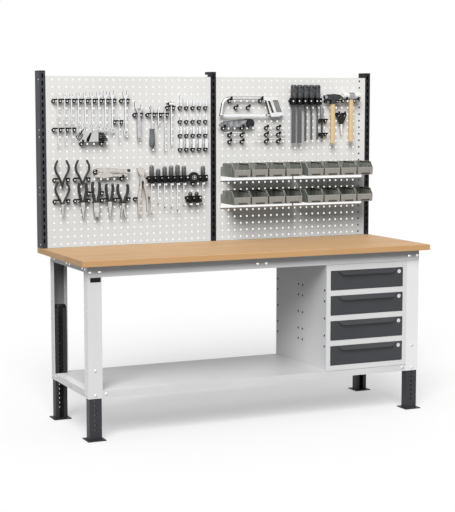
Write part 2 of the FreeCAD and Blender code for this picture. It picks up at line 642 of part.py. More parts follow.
# Drawers: open box with slide bars, folded front with a lip to pull, and a turning lock.
def make_drawer_box(index):
    base = drawer_bottom(index) + BOX_LIFT
    left = CUPBOARD_MIDDLE - BOX_WIDTH / 2
    right = CUPBOARD_MIDDLE + BOX_WIDTH / 2
    front = FRAME_FRONT - FRONT_PROUD + FRONT_DEPTH
    back = front + BOX_LENGTH
    outer = box(left, right, front, back, base, base + BOX_HEIGHT)
    inner = box(left + BOX_SHEET, right - BOX_SHEET, front + BOX_SHEET, back - BOX_SHEET,
                base + BOX_SHEET, base + BOX_HEIGHT + 1)
    opening = rod_y(lock_x(), front - 1, front + 3, lock_z(index), LOCK_BARREL_RADIUS + 0.5)
    middle = base + SLIDE_HEIGHT_ABOVE_BOX_FLOOR
    half = RUNNER_INNER / 2 - SLIDE_CLEARANCE
    reach = RUNNER_ARM - SLIDE_CLEARANCE - 0.5
    bars = []
    for side in (-1, 1):
        edge = CUPBOARD_MIDDLE + side * BOX_WIDTH / 2
        x0 = min(edge, edge + side * reach)
        x1 = max(edge, edge + side * reach)
        bar = box(x0, x1, front + 2, back, middle - half, middle + half)
        groove_x0 = x0 - 1 if side < 0 else x0 + 2
        groove_x1 = x1 - 2 if side < 0 else x1 + 1
        groove = box(groove_x0, groove_x1, front + 1, back + 1, middle - half + 2,
                     middle + half - 2)
        bars.append(bar.cut(groove))
    return fuse([outer.cut([inner, opening])] + bars)


def lock_x():
    return CUPBOARD_MIDDLE + FRONT_WIDTH / 2 - LOCK_FROM_EDGE


def lock_z(index):
    return drawer_bottom(index) + FRONT_HEIGHT - LOCK_BELOW_TOP


def make_drawer_front(index):
    low = drawer_bottom(index)
    high = low + FRONT_HEIGHT
    left = CUPBOARD_MIDDLE - FRONT_WIDTH / 2
    right = CUPBOARD_MIDDLE + FRONT_WIDTH / 2
    face = FRAME_FRONT - FRONT_PROUD
    back = face + FRONT_DEPTH
    outer = box(left, right, face, back, low, high)
    inner = box(left + FRONT_SHEET, right - FRONT_SHEET, face + FRONT_SHEET, back + 1,
                low + FRONT_SHEET, high - FRONT_SHEET)
    hole = rod_y(lock_x(), face - 1, back + 1, lock_z(index), LOCK_BARREL_RADIUS + SCREW_CLEARANCE)
    pan = outer.cut([inner, hole])
    sheet = 1.6
    lean = plate_yz([(face, high), (face - GRIP_PROUD, high - GRIP_DROP),
                     (face - GRIP_PROUD + sheet, high - GRIP_DROP), (face + sheet * 0.5, high - 1)],
                    left, right)
    start = V(CUPBOARD_MIDDLE - GRIP_HALF_TOP, face - 60, high)
    end = V(CUPBOARD_MIDDLE + GRIP_HALF_TOP, face - 60, high)
    low_left = V(CUPBOARD_MIDDLE - GRIP_HALF_BOTTOM, face - 60, high - GRIP_DROP)
    low_right = V(CUPBOARD_MIDDLE + GRIP_HALF_BOTTOM, face - 60, high - GRIP_DROP)
    sag = GRIP_HALF_TOP - GRIP_HALF_BOTTOM
    bend_left = V(start.x + sag * 0.42, start.y, high - GRIP_DROP * 0.74)
    bend_right = V(end.x - sag * 0.42, end.y, high - GRIP_DROP * 0.74)
    outline = Part.Wire([Part.Arc(start, bend_left, low_left).toShape(),
                         Part.makeLine(low_left, low_right),
                         Part.Arc(low_right, bend_right, end).toShape(),
                         Part.makeLine(end, start)])
    smile = Part.Face(outline).extrude(V(0, 80, 0))
    return fuse([pan, lean.common(smile)])


def make_lock_plug(index):
    face = FRAME_FRONT - FRONT_PROUD
    x = lock_x()
    z = lock_z(index)
    disc = rod_y(x, face - 2.0, face - 0.3, z, LOCK_FACE_RADIUS)
    barrel = rod_y(x, face - 1.0, face + FRONT_DEPTH + 8.0, z, LOCK_BARREL_RADIUS)
    slot = box(x - 0.8, x + 0.8, face - 3, face + 4, z - 4.5, z + 4.5)
    cam_y = face + FRONT_DEPTH + 8.0
    cam = plate_xz([(x - 6, z - 6), (x + 6, z - 6), (x + 5, z + LOCK_CAM), (x - 5, z + LOCK_CAM)],
                   cam_y, cam_y + 2.5)
    return fuse([disc, barrel, cam]).cut(slot)


# Bins: tapered open boxes with a low front, a label pocket and a hook over the rail lip.
def bin_taper(centre, base, inset, y0, y1, top):
    half_low = BIN_WIDTH / 2 - BIN_TAPER - inset
    half_high = BIN_WIDTH / 2 - inset
    return plate_xz([(centre - half_low, base), (centre + half_low, base),
                     (centre + half_high, top), (centre - half_high, top)], y0, y1)


def make_bin(centre, base):
    front = PANEL_FACE - RAIL_PROUD - BIN_DEPTH
    back = PANEL_FACE - RAIL_PROUD
    top = base + BIN_HEIGHT
    side = plate_yz([(front, base), (back, base), (back, top), (front + BIN_SLOPE, top),
                     (front, base + BIN_FRONT_HEIGHT)], centre - BIN_WIDTH, centre + BIN_WIDTH)
    outer = side.common(bin_taper(centre, base, 0.0, front, back, top))
    inner = bin_taper(centre, base + BIN_WALL, BIN_WALL, front + BIN_WALL, back - BIN_WALL,
                      top + 1)
    pocket = box(centre - 31, centre + 31, front - 1, front + 1.0, base + 3, base + 14)
    tab = box(centre - 18, centre + 18, back - 1, back + 4.5, base + LIP_RISE, base + LIP_RISE + 2)
    tongue = box(centre - 18, centre + 18, back + 2.5, back + 4.5, base + LIP_RISE - 7,
                 base + LIP_RISE + 1)
    return fuse([outer.cut([inner, pocket]), tab, tongue])


def bin_base(row):
    return row_z(row) - 1.0


def bin_group_middle(group):
    half = PERF_COLUMNS // 2
    return (column_x(BAY_RIGHT, group * half) + column_x(BAY_RIGHT, group * half + half - 1)) / 2


def make_bins(row):
    bins = []
    for group in range(2):
        for place in range(4):
            centre = bin_group_middle(group) + (place - 1.5) * BIN_PITCH
            bins.append(make_bin(centre, bin_base(row)))
    return bins


def make_bin_rails():
    rails = []
    for row in (14, 18):
        base = bin_base(row)
        front = PANEL_FACE - RAIL_PROUD
        for group in range(2):
            left = bin_group_middle(group) - RAIL_STRIP / 2
            right = left + RAIL_STRIP
            strip = box(left, right, front, front + 1.5, base - 24, base + LIP_RISE)
            low = box(left, right, front, PANEL_FACE, base - 24, base - 22.5)
            high = box(left, right, front, PANEL_FACE, base + 40, base + 41.5)
            rails.append(fuse([strip, low, high]))
    return rails


# Hooks. Each is a round base on the panel with a stem, and differs in what the stem carries.
hook_places = []


def hook_base(x, z, front, radius=BASE_RADIUS):
    hook_places.append((x, z, front))
    body = rod_y(x, front, PANEL_FACE, z, radius)
    recess = rod_y(x, front - 1, front + HOOK_HEAD_SUNK, z, HOOK_SCREW_RECESS)
    bore = rod_y(x, front, PANEL_FACE + 1, z, 2.3)
    return body.cut([recess, bore])


def hook_stem(x, z, reach_to, top, half):
    return box(x - half, x + half, reach_to, HOOK_FRONT + 6, z + STEM_RISE, top)


def arm_hook(column, row, bay, left_end, right_end, seat=SEAT, half=STEM_HALF):
    x = column_x(bay, column)
    z = row_z(row)
    left = x - half if left_end is None else left_end
    right = x + half if right_end is None else right_end
    bar = box(left, right, TOOL_Y - 8, TOOL_Y + 5, z + seat - ARM_DEPTH, z + seat)
    stem = hook_stem(x, z, TOOL_Y - 8, z + seat, half)
    return fuse([hook_base(x, z, HOOK_FRONT), stem, bar])


def tip_hook(column, row, bay, seat, tip_top, tip_back, half=STEM_HALF):
    x = column_x(bay, column)
    z = row_z(row)
    stem = hook_stem(x, z, tip_back - TIP_THICK, z + seat, half)
    tip = box(x - half, x + half, tip_back - TIP_THICK, tip_back, z + seat - 1, z + tip_top)
    return fuse([hook_base(x, z, HOOK_FRONT), stem, tip])


def pin_hook(column, row, bay):
    x = column_x(bay, column)
    z = row_z(row)
    stem = box(x - STEM_HALF, x + STEM_HALF, TOOL_Y, HOOK_FRONT + 6, z + STEM_RISE, z + 10)
    cup = rod_z(x, TOOL_Y, z + 2, z + 10, 7.0)
    pin = rod_z(x, TOOL_Y, z + 9, z + 17, PIN_RADIUS)
    return fuse([hook_base(x, z, HOOK_FRONT), stem, cup, pin])


def saddle_hook(column, row, bay, low, high, neck, ring, beside, proud, sides):
    # Half rings reach out to the tools on the sides that are named. Each tool stands between
    # two hooks, nearer to the one on its left.
    x = column_x(bay, column)
    z = row_z(row)
    front = PANEL_FACE - proud
    centres = {1: x + beside, -1: x + beside - PERF_PITCH}
    left = centres[-1] + 0.3 if -1 in sides else x - SADDLE_BASE_RADIUS
    right = centres[1] - 0.3 if 1 in sides else x + SADDLE_BASE_RADIUS
    web = box(left, right, front, front + 8, z + low, z + high)
    web = web.cut(rod_y(x, front - 1, front + 9, z, SADDLE_BASE_RADIUS - 0.5))
    pieces = [web]
    cutters = []
    for side in sides:
        centre = centres[side]
        edge = centre - side * 0.3
        far = edge + side * PERF_PITCH
        beyond = box(min(edge, far), max(edge, far), SADDLE_Y - 30, SADDLE_Y + 30,
                     z + low - 1, z + high + 1)
        pieces.append(rod_z(centre, SADDLE_Y, z + low, z + high, ring).cut(beyond))
        cutters.append(rod_z(centre, SADDLE_Y, z + low - 1, z + high + 1, neck + 0.3))
    cutters.append(rod_y(x, SADDLE_Y - ring - 1, front + HOOK_HEAD_SUNK, z, HOOK_SCREW_RECESS))
    base = hook_base(x, z, front, SADDLE_BASE_RADIUS)
    return fuse([base, fuse(pieces).cut(cutters)])


# Combination wrenches: open jaw on top, ring at the bottom.
def make_combination_wrench(x, seat_z, head_up, length, head, ring, shank, thick):
    y0 = TOOL_Y - thick / 2
    y1 = TOOL_Y + thick / 2
    radius = head / 2
    top = seat_z + head_up
    low = seat_z + SEAT_GAP
    centre = max(top - radius * 1.2, low + radius * 0.5)
    shoulder = shank / 2 + 0.4 + WRENCH_SHOULDER
    disc = rod_y(x, y0, y1, centre, radius)
    below = box(x - head, x + head, y0 - 1, y1 + 1, low - head, low)
    flare = plate_xz([(x - shoulder, low), (x + shoulder, low), (x + radius * 0.97, centre),
                      (x - radius * 0.97, centre)], y0, y1)
    jaws = plate_xz([(x - radius * 0.9, centre + radius * 0.3),
                     (x + radius * 0.9, centre + radius * 0.3), (x + radius * 0.72, top),
                     (x - radius * 0.72, top - 1.5)], y0, y1)
    mouth = head * 0.26
    slot = box(x - mouth, x + mouth, y0 - 1, y1 + 1, centre + 1, top + 1)
    pocket = rod_y(x, y0 - 1, y1 + 1, centre + 1, mouth)
    bottom = top - length
    ring_centre = bottom + ring / 2
    eye = rod_y(x, y0 - 0.5, y1 + 0.5, ring_centre, ring / 2)
    bore = rod_y(x, y0 - 2, y1 + 2, ring_centre, ring * 0.3)
    bar = plate_xz([(x - shank / 2, centre), (x + shank / 2, centre),
                    (x + shank * 0.4, ring_centre), (x - shank * 0.4, ring_centre)],
                   TOOL_Y - thick * 0.35, TOOL_Y + thick * 0.35)
    return fuse([disc.cut(below), flare, jaws, bar, eye]).cut([slot, pocket, bore])


# Adjustable wrench: fixed jaw, sliding jaw, thumb wheel, and a handle with a hanging hole.
def make_adjustable_wrench(x, seat_z):
    y0 = TOOL_Y - 5
    y1 = TOOL_Y + 5
    z = seat_z + SEAT_GAP
    head = plate_xz([(x - 10, z), (x + 10, z), (x + 19, z + 16), (x + 22, z + 40),
                     (x + 15, z + 44), (x + 9, z + 30), (x - 12, z + 30), (x - 20, z + 62),
                     (x - 24, z + 55), (x - 22, z + 25)], y0, y1)
    wheel = rod_x(x - 8, x + 8, TOOL_Y, z + 20, 5.5)
    window = box(x - 7, x + 7, y0 - 1, y1 + 1, z + 14, z + 26)
    handle = plate_xz([(x - 8, z + 5), (x + 8, z + 5), (x + 8, z - 20), (x + 11, z - 60),
                       (x + 9, z - 140), (x - 9, z - 140), (x - 11, z - 60), (x - 8, z - 20)],
                      TOOL_Y - 3.5, TOOL_Y + 3.5)
    end = rod_y(x, TOOL_Y - 3.5, TOOL_Y + 3.5, z - 139, 9.5)
    hole = rod_y(x, y0 - 1, y1 + 1, z - 139, 4.5)
    return fuse([head.cut(window), wheel, handle, end]).cut(hole)


# Sizes that grow from the first wrench of the row to the last: name, first and last value.
WRENCH_COUNT = 9
WRENCH_SHOULDER = 2.0
WRENCH_HEAD_UP = (23.0, 43.0)
WRENCH_LENGTH = (139.0, 223.0)
WRENCH_HEAD = (17.0, 28.0)
WRENCH_RING = (13.0, 25.0)
WRENCH_SHANK = (6.5, 9.5)
WRENCH_THICK = (4.0, 7.0)


def graded(first_and_last, place):
    first, last = first_and_last
    return first + (last - first) * place / (WRENCH_COUNT - 1)


def make_wrenches():
    wrenches = []
    for place in range(WRENCH_COUNT):
        x = column_x(BAY_LEFT, place + 0.5)
        wrenches.append(make_combination_wrench(
            x, row_z(3) + SEAT, graded(WRENCH_HEAD_UP, place), graded(WRENCH_LENGTH, place),
            graded(WRENCH_HEAD, place), graded(WRENCH_RING, place), graded(WRENCH_SHANK, place),
            graded(WRENCH_THICK, place)))
    wrenches.append(make_combination_wrench(column_x(BAY_LEFT, 10.5), row_z(3) + SEAT, 45.0,
                                            239.0, 31.0, 27.0, 10.0, 7.5))
    wrenches.append(make_combination_wrench(column_x(BAY_LEFT, 9.5), row_z(6) + SEAT, 17.0,
                                            125.0, 15.0, 12.0, 6.0, 4.0))
    for place, length in enumerate((107.0, 96.0, 86.0)):
        wrenches.append(make_combination_wrench(column_x(BAY_LEFT, place + 0.5), row_z(7) + SEAT,
                                                13.0, length, 14.0, 11.0, 5.5, 3.5))
    wrenches.append(make_adjustable_wrench(column_x(BAY_LEFT, 12.5), row_z(5) + SEAT))
    return wrenches


def shank_of(place):
    return graded(WRENCH_SHANK, place) / 2 + 0.4


def make_wrench_hooks():
    hooks = []
    half = PERF_PITCH / 2
    for column in range(WRENCH_COUNT + 1):
        x = column_x(BAY_LEFT, column)
        left = None if column == 0 else x - half + shank_of(column - 1)
        right = None if column == WRENCH_COUNT else x + half - shank_of(column)
        hooks.append(arm_hook(column, 3, BAY_LEFT, left, right))
    singles = ((10, 3, 5.0), (9, 6, 3.0), (12, 5, 8.0))
    for column, row, half_shank in singles:
        middle = column_x(BAY_LEFT, column + 0.5)
        gap = half_shank + 0.4
        hooks.append(arm_hook(column, row, BAY_LEFT, None, middle - gap))
        hooks.append(arm_hook(column + 1, row, BAY_LEFT, middle + gap, None))
    for column in range(4):
        x = column_x(BAY_LEFT, column)
        left = None if column == 0 else x - half + 3.15
        right = None if column == 3 else x + half - 3.15
        hooks.append(arm_hook(column, 7, BAY_LEFT, left, right))
    return hooks


# Ratchet, two extension bars and a sliding T handle.
def make_ratchet_tools():
    seat_z = row_z(5) + SEAT + SEAT_GAP
    x = column_x(BAY_LEFT, 14.5)
    ring = rod_y(x, TOOL_Y - 6, TOOL_Y + 6, seat_z + 25, 12.0)
    eye = rod_y(x, TOOL_Y - 9, TOOL_Y - 4, seat_z + 25, 8.0)
    neck = cone_z(x, TOOL_Y, seat_z, seat_z + 15, 5.5, 7.5)
    shank = rod_z(x, TOOL_Y, seat_z - 90, seat_z + 1, 4.4)
    grip = turned_z([(0, seat_z - 86), (15, seat_z - 86), (13, seat_z - 112), (17, seat_z - 158),
                     (15, seat_z - 178), (8, seat_z - 187), (0, seat_z - 188)], x, TOOL_Y - 3)
    hang = rod_y(x, TOOL_Y - 30, TOOL_Y + 20, seat_z - 174, 3.0)
    ratchet = fuse([ring.cut(eye), neck, shank, grip]).cut(hang)
    drive = rod_y(x, TOOL_Y - 8, TOOL_Y + 6.5, seat_z + 25, 5.6)
    tools = [fuse([ratchet, drive])]
    for column, top, length in ((15.5, 20.0, 86.0), (16.5, 23.0, 218.0)):
        x = column_x(BAY_LEFT, column)
        head = rod_z(x, TOOL_Y, seat_z, seat_z + 8, 6.5)
        square = box(x - 3.2, x + 3.2, TOOL_Y - 3.2, TOOL_Y + 3.2, seat_z + 7, seat_z + top)
        bar = rod_z(x, TOOL_Y, seat_z + top - length + 12, seat_z + 1, 4.4)
        socket = rod_z(x, TOOL_Y, seat_z + top - length, seat_z + top - length + 16, 6.0)
        tools.append(fuse([head, square, bar, socket]))
    x = column_x(BAY_LEFT, 17.5)
    seat_z = row_z(4) + SEAT + SEAT_GAP
    slider = rod_x(x - 15, x + 12, TOOL_Y, seat_z + 10, 10.0)
    square = box(x - 27, x - 14, TOOL_Y - 5, TOOL_Y + 5, seat_z + 5, seat_z + 15)
    bar = rod_z(x, TOOL_Y, seat_z - 216, seat_z + 26, 5.0)
    tools.append(fuse([slider, square, bar]))
    return tools


def make_ratchet_hooks():
    hooks = []
    half = PERF_PITCH / 2
    for column in range(14, 18):
        x = column_x(BAY_LEFT, column)
        left = None if column == 14 else x - half + 4.8
        right = None if column == 17 else x + half - 4.8
        hooks.append(arm_hook(column, 5, BAY_LEFT, left, right))
    middle = column_x(BAY_LEFT, 17.5)
    hooks.append(arm_hook(17, 4, BAY_LEFT, None, middle - 5.4))
    hooks.append(arm_hook(18, 4, BAY_LEFT, middle + 5.4, None))
    return hooks


# Sockets: four rows of five on upright pins; the second row holds bit sockets.
SOCKET_COLUMNS = (19, 20, 21, 22, 23)
SOCKET_ROWS = (4, 6, 8, 10)
SOCKET_SIZES = {4: (7.5, 36.0), 6: (8.5, 16.0), 8: (8.5, 42.0), 10: (11.5, 50.0)}


def make_sockets():
    sockets = []
    for row in SOCKET_ROWS:
        radius, height = SOCKET_SIZES[row]
        for column in SOCKET_COLUMNS:
            x = column_x(BAY_LEFT, column)
            z = row_z(row) + 10 + SEAT_GAP
            drive = rod_z(x, TOOL_Y, z, z + height * 0.45, radius * 0.9)
            body = rod_z(x, TOOL_Y, z + height * 0.4, z + height, radius)
            pieces = [drive, body]
            bore = rod_z(x, TOOL_Y, z - 1, z + 9, PIN_RADIUS + SCREW_CLEARANCE)
            mouth = rod_z(x, TOOL_Y, z + height - 8, z + height + 1, radius * 0.68)
            cuts = [bore, mouth]
            if row == 6:
                pieces.append(rod_z(x, TOOL_Y, z + height - 1, z + 36, 3.0))
                cuts = [bore]
            socket = fuse(pieces).cut(cuts)
            if row == 4 and column == SOCKET_COLUMNS[0]:
                fork = cone_z(x, TOOL_Y, z + height - 9, z + height + 14, 5.0, 8.0)
                knuckle = rod_x(x - 8, x + 8, TOOL_Y, z + height + 17, 6.0)
                square = box(x - 4, x + 4, TOOL_Y - 4, TOOL_Y + 4, z + height + 18,
                             z + height + 27)
                socket = fuse([socket, fork, knuckle, square])
            sockets.append(socket)
    return sockets


def make_socket_hooks():
    hooks = []
    for row in SOCKET_ROWS:
        for column in SOCKET_COLUMNS:
            hooks.append(pin_hook(column, row, BAY_LEFT))
    return hooks


# Set of angled hexagon keys in a folding holder.
def make_hex_key_set():
    z = row_z(9) + SEAT
    x = column_x(BAY_LEFT, 4)
    y0 = TOOL_Y - 11
    y1 = TOOL_Y + 9
    slab = plate_xz([(x - 16, z), (x + 88, z), (x + 88, z + 48), (x + 12, z + 48)], y0, y1)
    stripe = plate_xz([(x + 20, z - 1), (x + 34, z - 1), (x + 52, z + 49), (x + 44, z + 49),
                       (x + 22, z + 18)], y0 - 1, y0 + 3)
    holder = slab.cut(stripe)
    bars = []
    for place in range(5):
        low = z + 4 + place * 9
        bars.append(box(x + 85, x + 142 - place * 5, TOOL_Y - 9, TOOL_Y + 7, low, low + 7.5))
    for place in range(5):
        reach = 7.0 * place
        start = (x + 2, TOOL_Y, z + 6 + 8 * place)
        bend = (x - 24 + reach * 0.7, TOOL_Y, z + 10 + 9 * place)
        end = (x - 34 + reach * 1.5, TOOL_Y, z + 34 + 8 * place)
        bars.append(bent_rod([start, bend, end], 2.6))
    return [fuse([holder] + bars)]


def make_hex_key_hooks():
    return [tip_hook(column, 9, BAY_LEFT, SEAT, SEAT + 12, TOOL_Y - 12) for column in (4, 7)]


# Pliers for retaining rings: two thin dipped handles, a round joint and a slim nose.
CIRCLIP_PLACES = ((0, 14, 22.0), (3, 14, 2.0), (0, 17, 60.0))
CIRCLIP_GRIP = 6.0


def circlip_path(x, z, side):
    return [(x + side * 4, TOOL_Y, z - 14), (x + side * 14, TOOL_Y, z + 10),
            (x + side * 35, TOOL_Y, z + 48), (x + side * 40, TOOL_Y, z + 72),
            (x + side * 25, TOOL_Y, z + 103)]


def make_circlip_pliers(x, z, nose):
    pieces = [bent_rod(circlip_path(x, z, side), CIRCLIP_GRIP) for side in (-1, 1)]
    pieces.append(rod_y(x, TOOL_Y - 4.5, TOOL_Y + 4.5, z - 16, 10.0))
    pieces.append(rod_y(x, TOOL_Y - 6, TOOL_Y + 6, z - 16, 4.0))
    pieces.append(plate_xz([(x - 8, z - 20), (x + 8, z - 20), (x + 2.5, z - 20 - nose),
                            (x - 2.5, z - 20 - nose)], TOOL_Y - 3.5, TOOL_Y + 3.5))
    return fuse(pieces)


def make_circlip_set():
    return [make_circlip_pliers(column_x(BAY_LEFT, column + 1), row_z(row), nose)
            for column, row, nose in CIRCLIP_PLACES]


def make_circlip_hooks():
    hooks = []
    for column, row, nose in CIRCLIP_PLACES:
        x = column_x(BAY_LEFT, column + 1)
        z = row_z(row)
        left = arm_hook(column, row, BAY_LEFT, None, x - 15)
        right = arm_hook(column + 2, row, BAY_LEFT, x + 15, None)
        hooks.append(left.cut(bent_rod(circlip_path(x, z, -1), CIRCLIP_GRIP + SCREW_CLEARANCE)))
        hooks.append(right.cut(bent_rod(circlip_path(x, z, 1), CIRCLIP_GRIP + SCREW_CLEARANCE)))
    return hooks


# Pliers with thick dipped handles, a flared guard and a polished head.
PLIERS_GRIP = 8.0


def pliers_path(x, z, up, spread, side):
    return [(x + side * 8, TOOL_Y, z - 12), (x + side * 12, TOOL_Y, z + 8),
            (x + side * (spread - 2), TOOL_Y, z + up * 0.45),
            (x + side * spread, TOOL_Y, z + up * 0.75),
            (x + side * (spread - 3), TOOL_Y, z + up - 8)]


def make_hand_pliers(x, z, up, spread, head_points, thick):
    pieces = [bent_rod(pliers_path(x, z, up, spread, side), PLIERS_GRIP) for side in (-1, 1)]
    guard = plate_xz([(x - 24, z - 13), (x - 14, z - 4), (x + 14, z - 4), (x + 24, z - 13),
                      (x + 20, z - 17), (x + 10, z - 11), (x - 10, z - 11), (x - 20, z - 17)],
                     TOOL_Y - 7, TOOL_Y + 7)
    head = plate_xz([(x + dx, z + dz) for dx, dz in head_points], TOOL_Y - thick / 2,
                    TOOL_Y + thick / 2)
    pin = rod_y(x, TOOL_Y - thick / 2 - 1, TOOL_Y + thick / 2 + 1, z - 32, 5.0)
    return fuse(pieces + [guard, head, pin])


NEEDLE_HEAD = ((-10, -8), (10, -8), (11, -40), (7, -60), (3, -97), (-3, -97), (-7, -60), (-11, -40))
WIDE_HEAD = ((-14, -8), (14, -8), (17, -40), (12, -90), (-12, -90), (-17, -40))
SPREAD_HEAD = ((-8, -8), (8, -8), (9, -40), (17, -92), (10, -92), (0, -44), (-10, -92),
               (-17, -92), (-9, -40))


def make_locking_pliers():
    left = column_x(BAY_LEFT, 6) - 16
    z = row_z(14)
    y0 = TOOL_Y - 6
    y1 = TOOL_Y + 6
    rest = row_z(13) + LOCK_JAW_REST + SEAT_GAP
    upper = plate_xz([(left, rest), (left + 8, z + 56), (left + 34, z + 62), (left + 120, z + 58),
                      (left + 192, z + 50), (left + 192, z + 38), (left + 110, z + 36),
                      (left + 40, z + 40), (left + 28, rest)], y0, y1)
    lower = plate_xz([(left, z + 20), (left + 10, z + 15), (left + 40, z + 10),
                      (left + 60, z + 6), (left + 120, z + 15), (left + 150, z + SEAT + SEAT_GAP),
                      (left + 178, z + SEAT + SEAT_GAP), (left + 206, z + 22),
                      (left + 180, z + 28), (left + 120, z + 27), (left + 60, z + 40),
                      (left + 22, z + 36), (left + 24, z + 28)], y0, y1)
    screw = rod_x(left + 185, left + 198, TOOL_Y, z + 45, 4.0)
    knob = rod_x(left + 196, left + 210, TOOL_Y, z + 45, 8.0)
    rivet = rod_y(left + 56, y0 - 1.5, y1 + 1.5, z + 37, 5.0)
    return fuse([upper, lower, screw, knob, rivet])


def make_pump_pliers():
    x = column_x(BAY_LEFT, 13) + 6
    z = row_z(15)
    y0 = TOOL_Y - 5
    y1 = TOOL_Y + 5
    jaw = plate_xz([(x - 40, z + 92), (x - 14, z + 96), (x + 12, z + 86), (x + 6, z + 70),
                    (x - 2, z + 44), (x - 14, z + 42), (x - 22, z + 56), (x - 34, z + 76)], y0, y1)
    left = plate_xz([(x - 20, z + 52), (x - 6, z + 50), (x - 10, z), (x - 17, z - 60),
                     (x - 22, z - 160), (x - 34, z - 160), (x - 36, z - 60), (x - 24, z)],
                    y0, TOOL_Y)
    right = plate_xz([(x - 14, z + 62), (x - 2, z + 66), (x + 14, z + 20), (x + 28, z - 60),
                      (x + 31, z - 150), (x + 20, z - 150), (x + 14, z - 60), (x, z)],
                     TOOL_Y - 0.5, y1)
    bolt_head = rod_y(x - 9, y0 - 1.5, y1 + 1.5, z + 52, 5.0)
    return fuse([jaw, left, right, bolt_head])


# Middle column, row of the hooks, height above that row, handle length, spread, head, thickness.
HAND_PLIERS = ((4, 17, 8.0, 92.0, 22.0, NEEDLE_HEAD, 10.0),
               (6, 16, -34.0, 102.0, 21.0, WIDE_HEAD, 12.0),
               (8, 17, 8.5, 84.0, 20.0, NEEDLE_HEAD, 10.0),
               (10, 17, -2.0, 92.0, 30.0, SPREAD_HEAD, 9.0))


def make_pliers():
    tools = []
    for column, row, rise, up, spread, head, thick in HAND_PLIERS:
        tools.append(make_hand_pliers(column_x(BAY_LEFT, column), row_z(row) + rise, up, spread,
                                      head, thick))
    tools.append(make_locking_pliers())
    tools.append(make_pump_pliers())
    return tools


def make_pliers_hooks():
    hooks = []
    ends = {}
    for column, row, rise, up, spread, head, thick in HAND_PLIERS:
        x = column_x(BAY_LEFT, column)
        z = row_z(row) + rise
        for side in (-1, 1):
            place = (column + side, row)
            handle = bent_rod(pliers_path(x, z, up, spread, side), PLIERS_GRIP + SCREW_CLEARANCE)
            ends.setdefault(place, []).append((-side, x + side * (spread * 0.5 + 2), handle))
    for place, arms in ends.items():
        left = None
        right = None
        handles = []
        for side, end, handle in arms:
            handles.append(handle)
            if side < 0:
                left = end
            else:
                right = end
        hook = arm_hook(place[0], place[1], BAY_LEFT, left, right).cut(handles)
        largest = max(hook.Solids, key=lambda solid: solid.Volume)
        hooks.append(largest)
    hooks.append(tip_hook(6, 13, BAY_LEFT, LOCK_JAW_REST, LOCK_JAW_REST + 8, TOOL_Y - 7))
    hooks.append(tip_hook(10, 14, BAY_LEFT, SEAT, SEAT + 10, TOOL_Y - 7))
    x = column_x(BAY_LEFT, 13)
    hooks.append(tip_hook(13, 15, BAY_LEFT, SEAT, SEAT + 12, TOOL_Y - 7, NARROW_STEM_HALF))
    hooks.append(arm_hook(12, 17, BAY_LEFT, None, x - 30.5))
    hooks.append(arm_hook(14, 17, BAY_LEFT, x + 35.0, None, SEAT, NARROW_STEM_HALF))
    return hooks


# Screwdrivers: rounded handle with a hanging hole, black neck, round blade and dark tip.
DRIVER_COLUMNS = (14, 15, 16, 17, 18, 19, 22)
DRIVER_TOPS = (72.0, 52.0, 64.0, 67.0, 71.0, 65.0, 63.0)
DRIVER_BLADES = (190.0, 139.0, 158.0, 162.0, 178.0, 151.0, 145.0)
STUBBY_COLUMNS = (20, 21)


def make_driver(x, z, up, blade, radius):
    base = z + DRIVER_HIGH + SEAT_GAP
    top = z + up
    grip = turned_z([(0, base), (radius * 0.8, base), (radius, base + 6), (radius, top - 12),
                     (radius * 0.9, top - 7), (radius * 0.65, top - 2), (radius * 0.3, top),
                     (0, top)], x, SADDLE_Y)
    neck = rod_z(x, SADDLE_Y, z + DRIVER_LOW - 5, base + 1, DRIVER_NECK)
    shaft = rod_z(x, SADDLE_Y, z - blade, z + DRIVER_LOW, 3.3)
    tip = cone_z(x, SADDLE_Y, z - blade - 8, z - blade, 1.6, 3.3)
    hang = rod_y(x, SADDLE_Y - 20, SADDLE_Y + 20, top - 13, 4.0)
    return fuse([grip, neck, shaft, tip]).cut(hang)


def make_screwdrivers():
    drivers = []
    for column, up, blade in zip(DRIVER_COLUMNS, DRIVER_TOPS, DRIVER_BLADES):
        x = column_x(BAY_LEFT, column) + DRIVER_BESIDE
        drivers.append(make_driver(x, row_z(14), up, blade, 13.0))
    for column in STUBBY_COLUMNS:
        x = column_x(BAY_LEFT, column) + DRIVER_BESIDE
        drivers.append(make_driver(x, row_z(17), 34.0, 40.0, 12.0))
    return drivers


def make_driver_hooks():
    hooks = []
    rows = ((14, (14, 15, 16, 17, 18, 19, 20), (14, 20)), (14, (22, 23), (22, 23)),
            (17, (20, 21, 22), (20, 22)))
    for row, columns, ends in rows:
        for column in columns:
            sides = (-1, 1)
            if column == ends[0]:
                sides = (1,)
            if column == ends[1]:
                sides = (-1,)
            hooks.append(saddle_hook(column, row, BAY_LEFT, DRIVER_LOW, DRIVER_HIGH, DRIVER_NECK,
                                     DRIVER_RING, DRIVER_BESIDE, DRIVER_SADDLE_PROUD, sides))
    return hooks


# Roll of tape on a stub, held up by a second hook below.
TAPE_RADIUS = 29.5
TAPE_BORE = 8.5
TAPE_PIN = 7.5


def make_tape_roll():
    x = column_x(BAY_LEFT, 21)
    z = row_z(14) - (TAPE_BORE - TAPE_PIN)
    roll = rod_y(x, TOOL_Y - 9, TOOL_Y + 9, z, TAPE_RADIUS)
    groove = rod_y(x, TOOL_Y - 10, TOOL_Y - 7.5, z, 17.0)
    core = rod_y(x, TOOL_Y - 10, TOOL_Y + 9, z, 14.0)
    bore = rod_y(x, TOOL_Y - 12, TOOL_Y + 12, z, TAPE_BORE)
    return fuse([roll.cut(groove), core]).cut(bore)


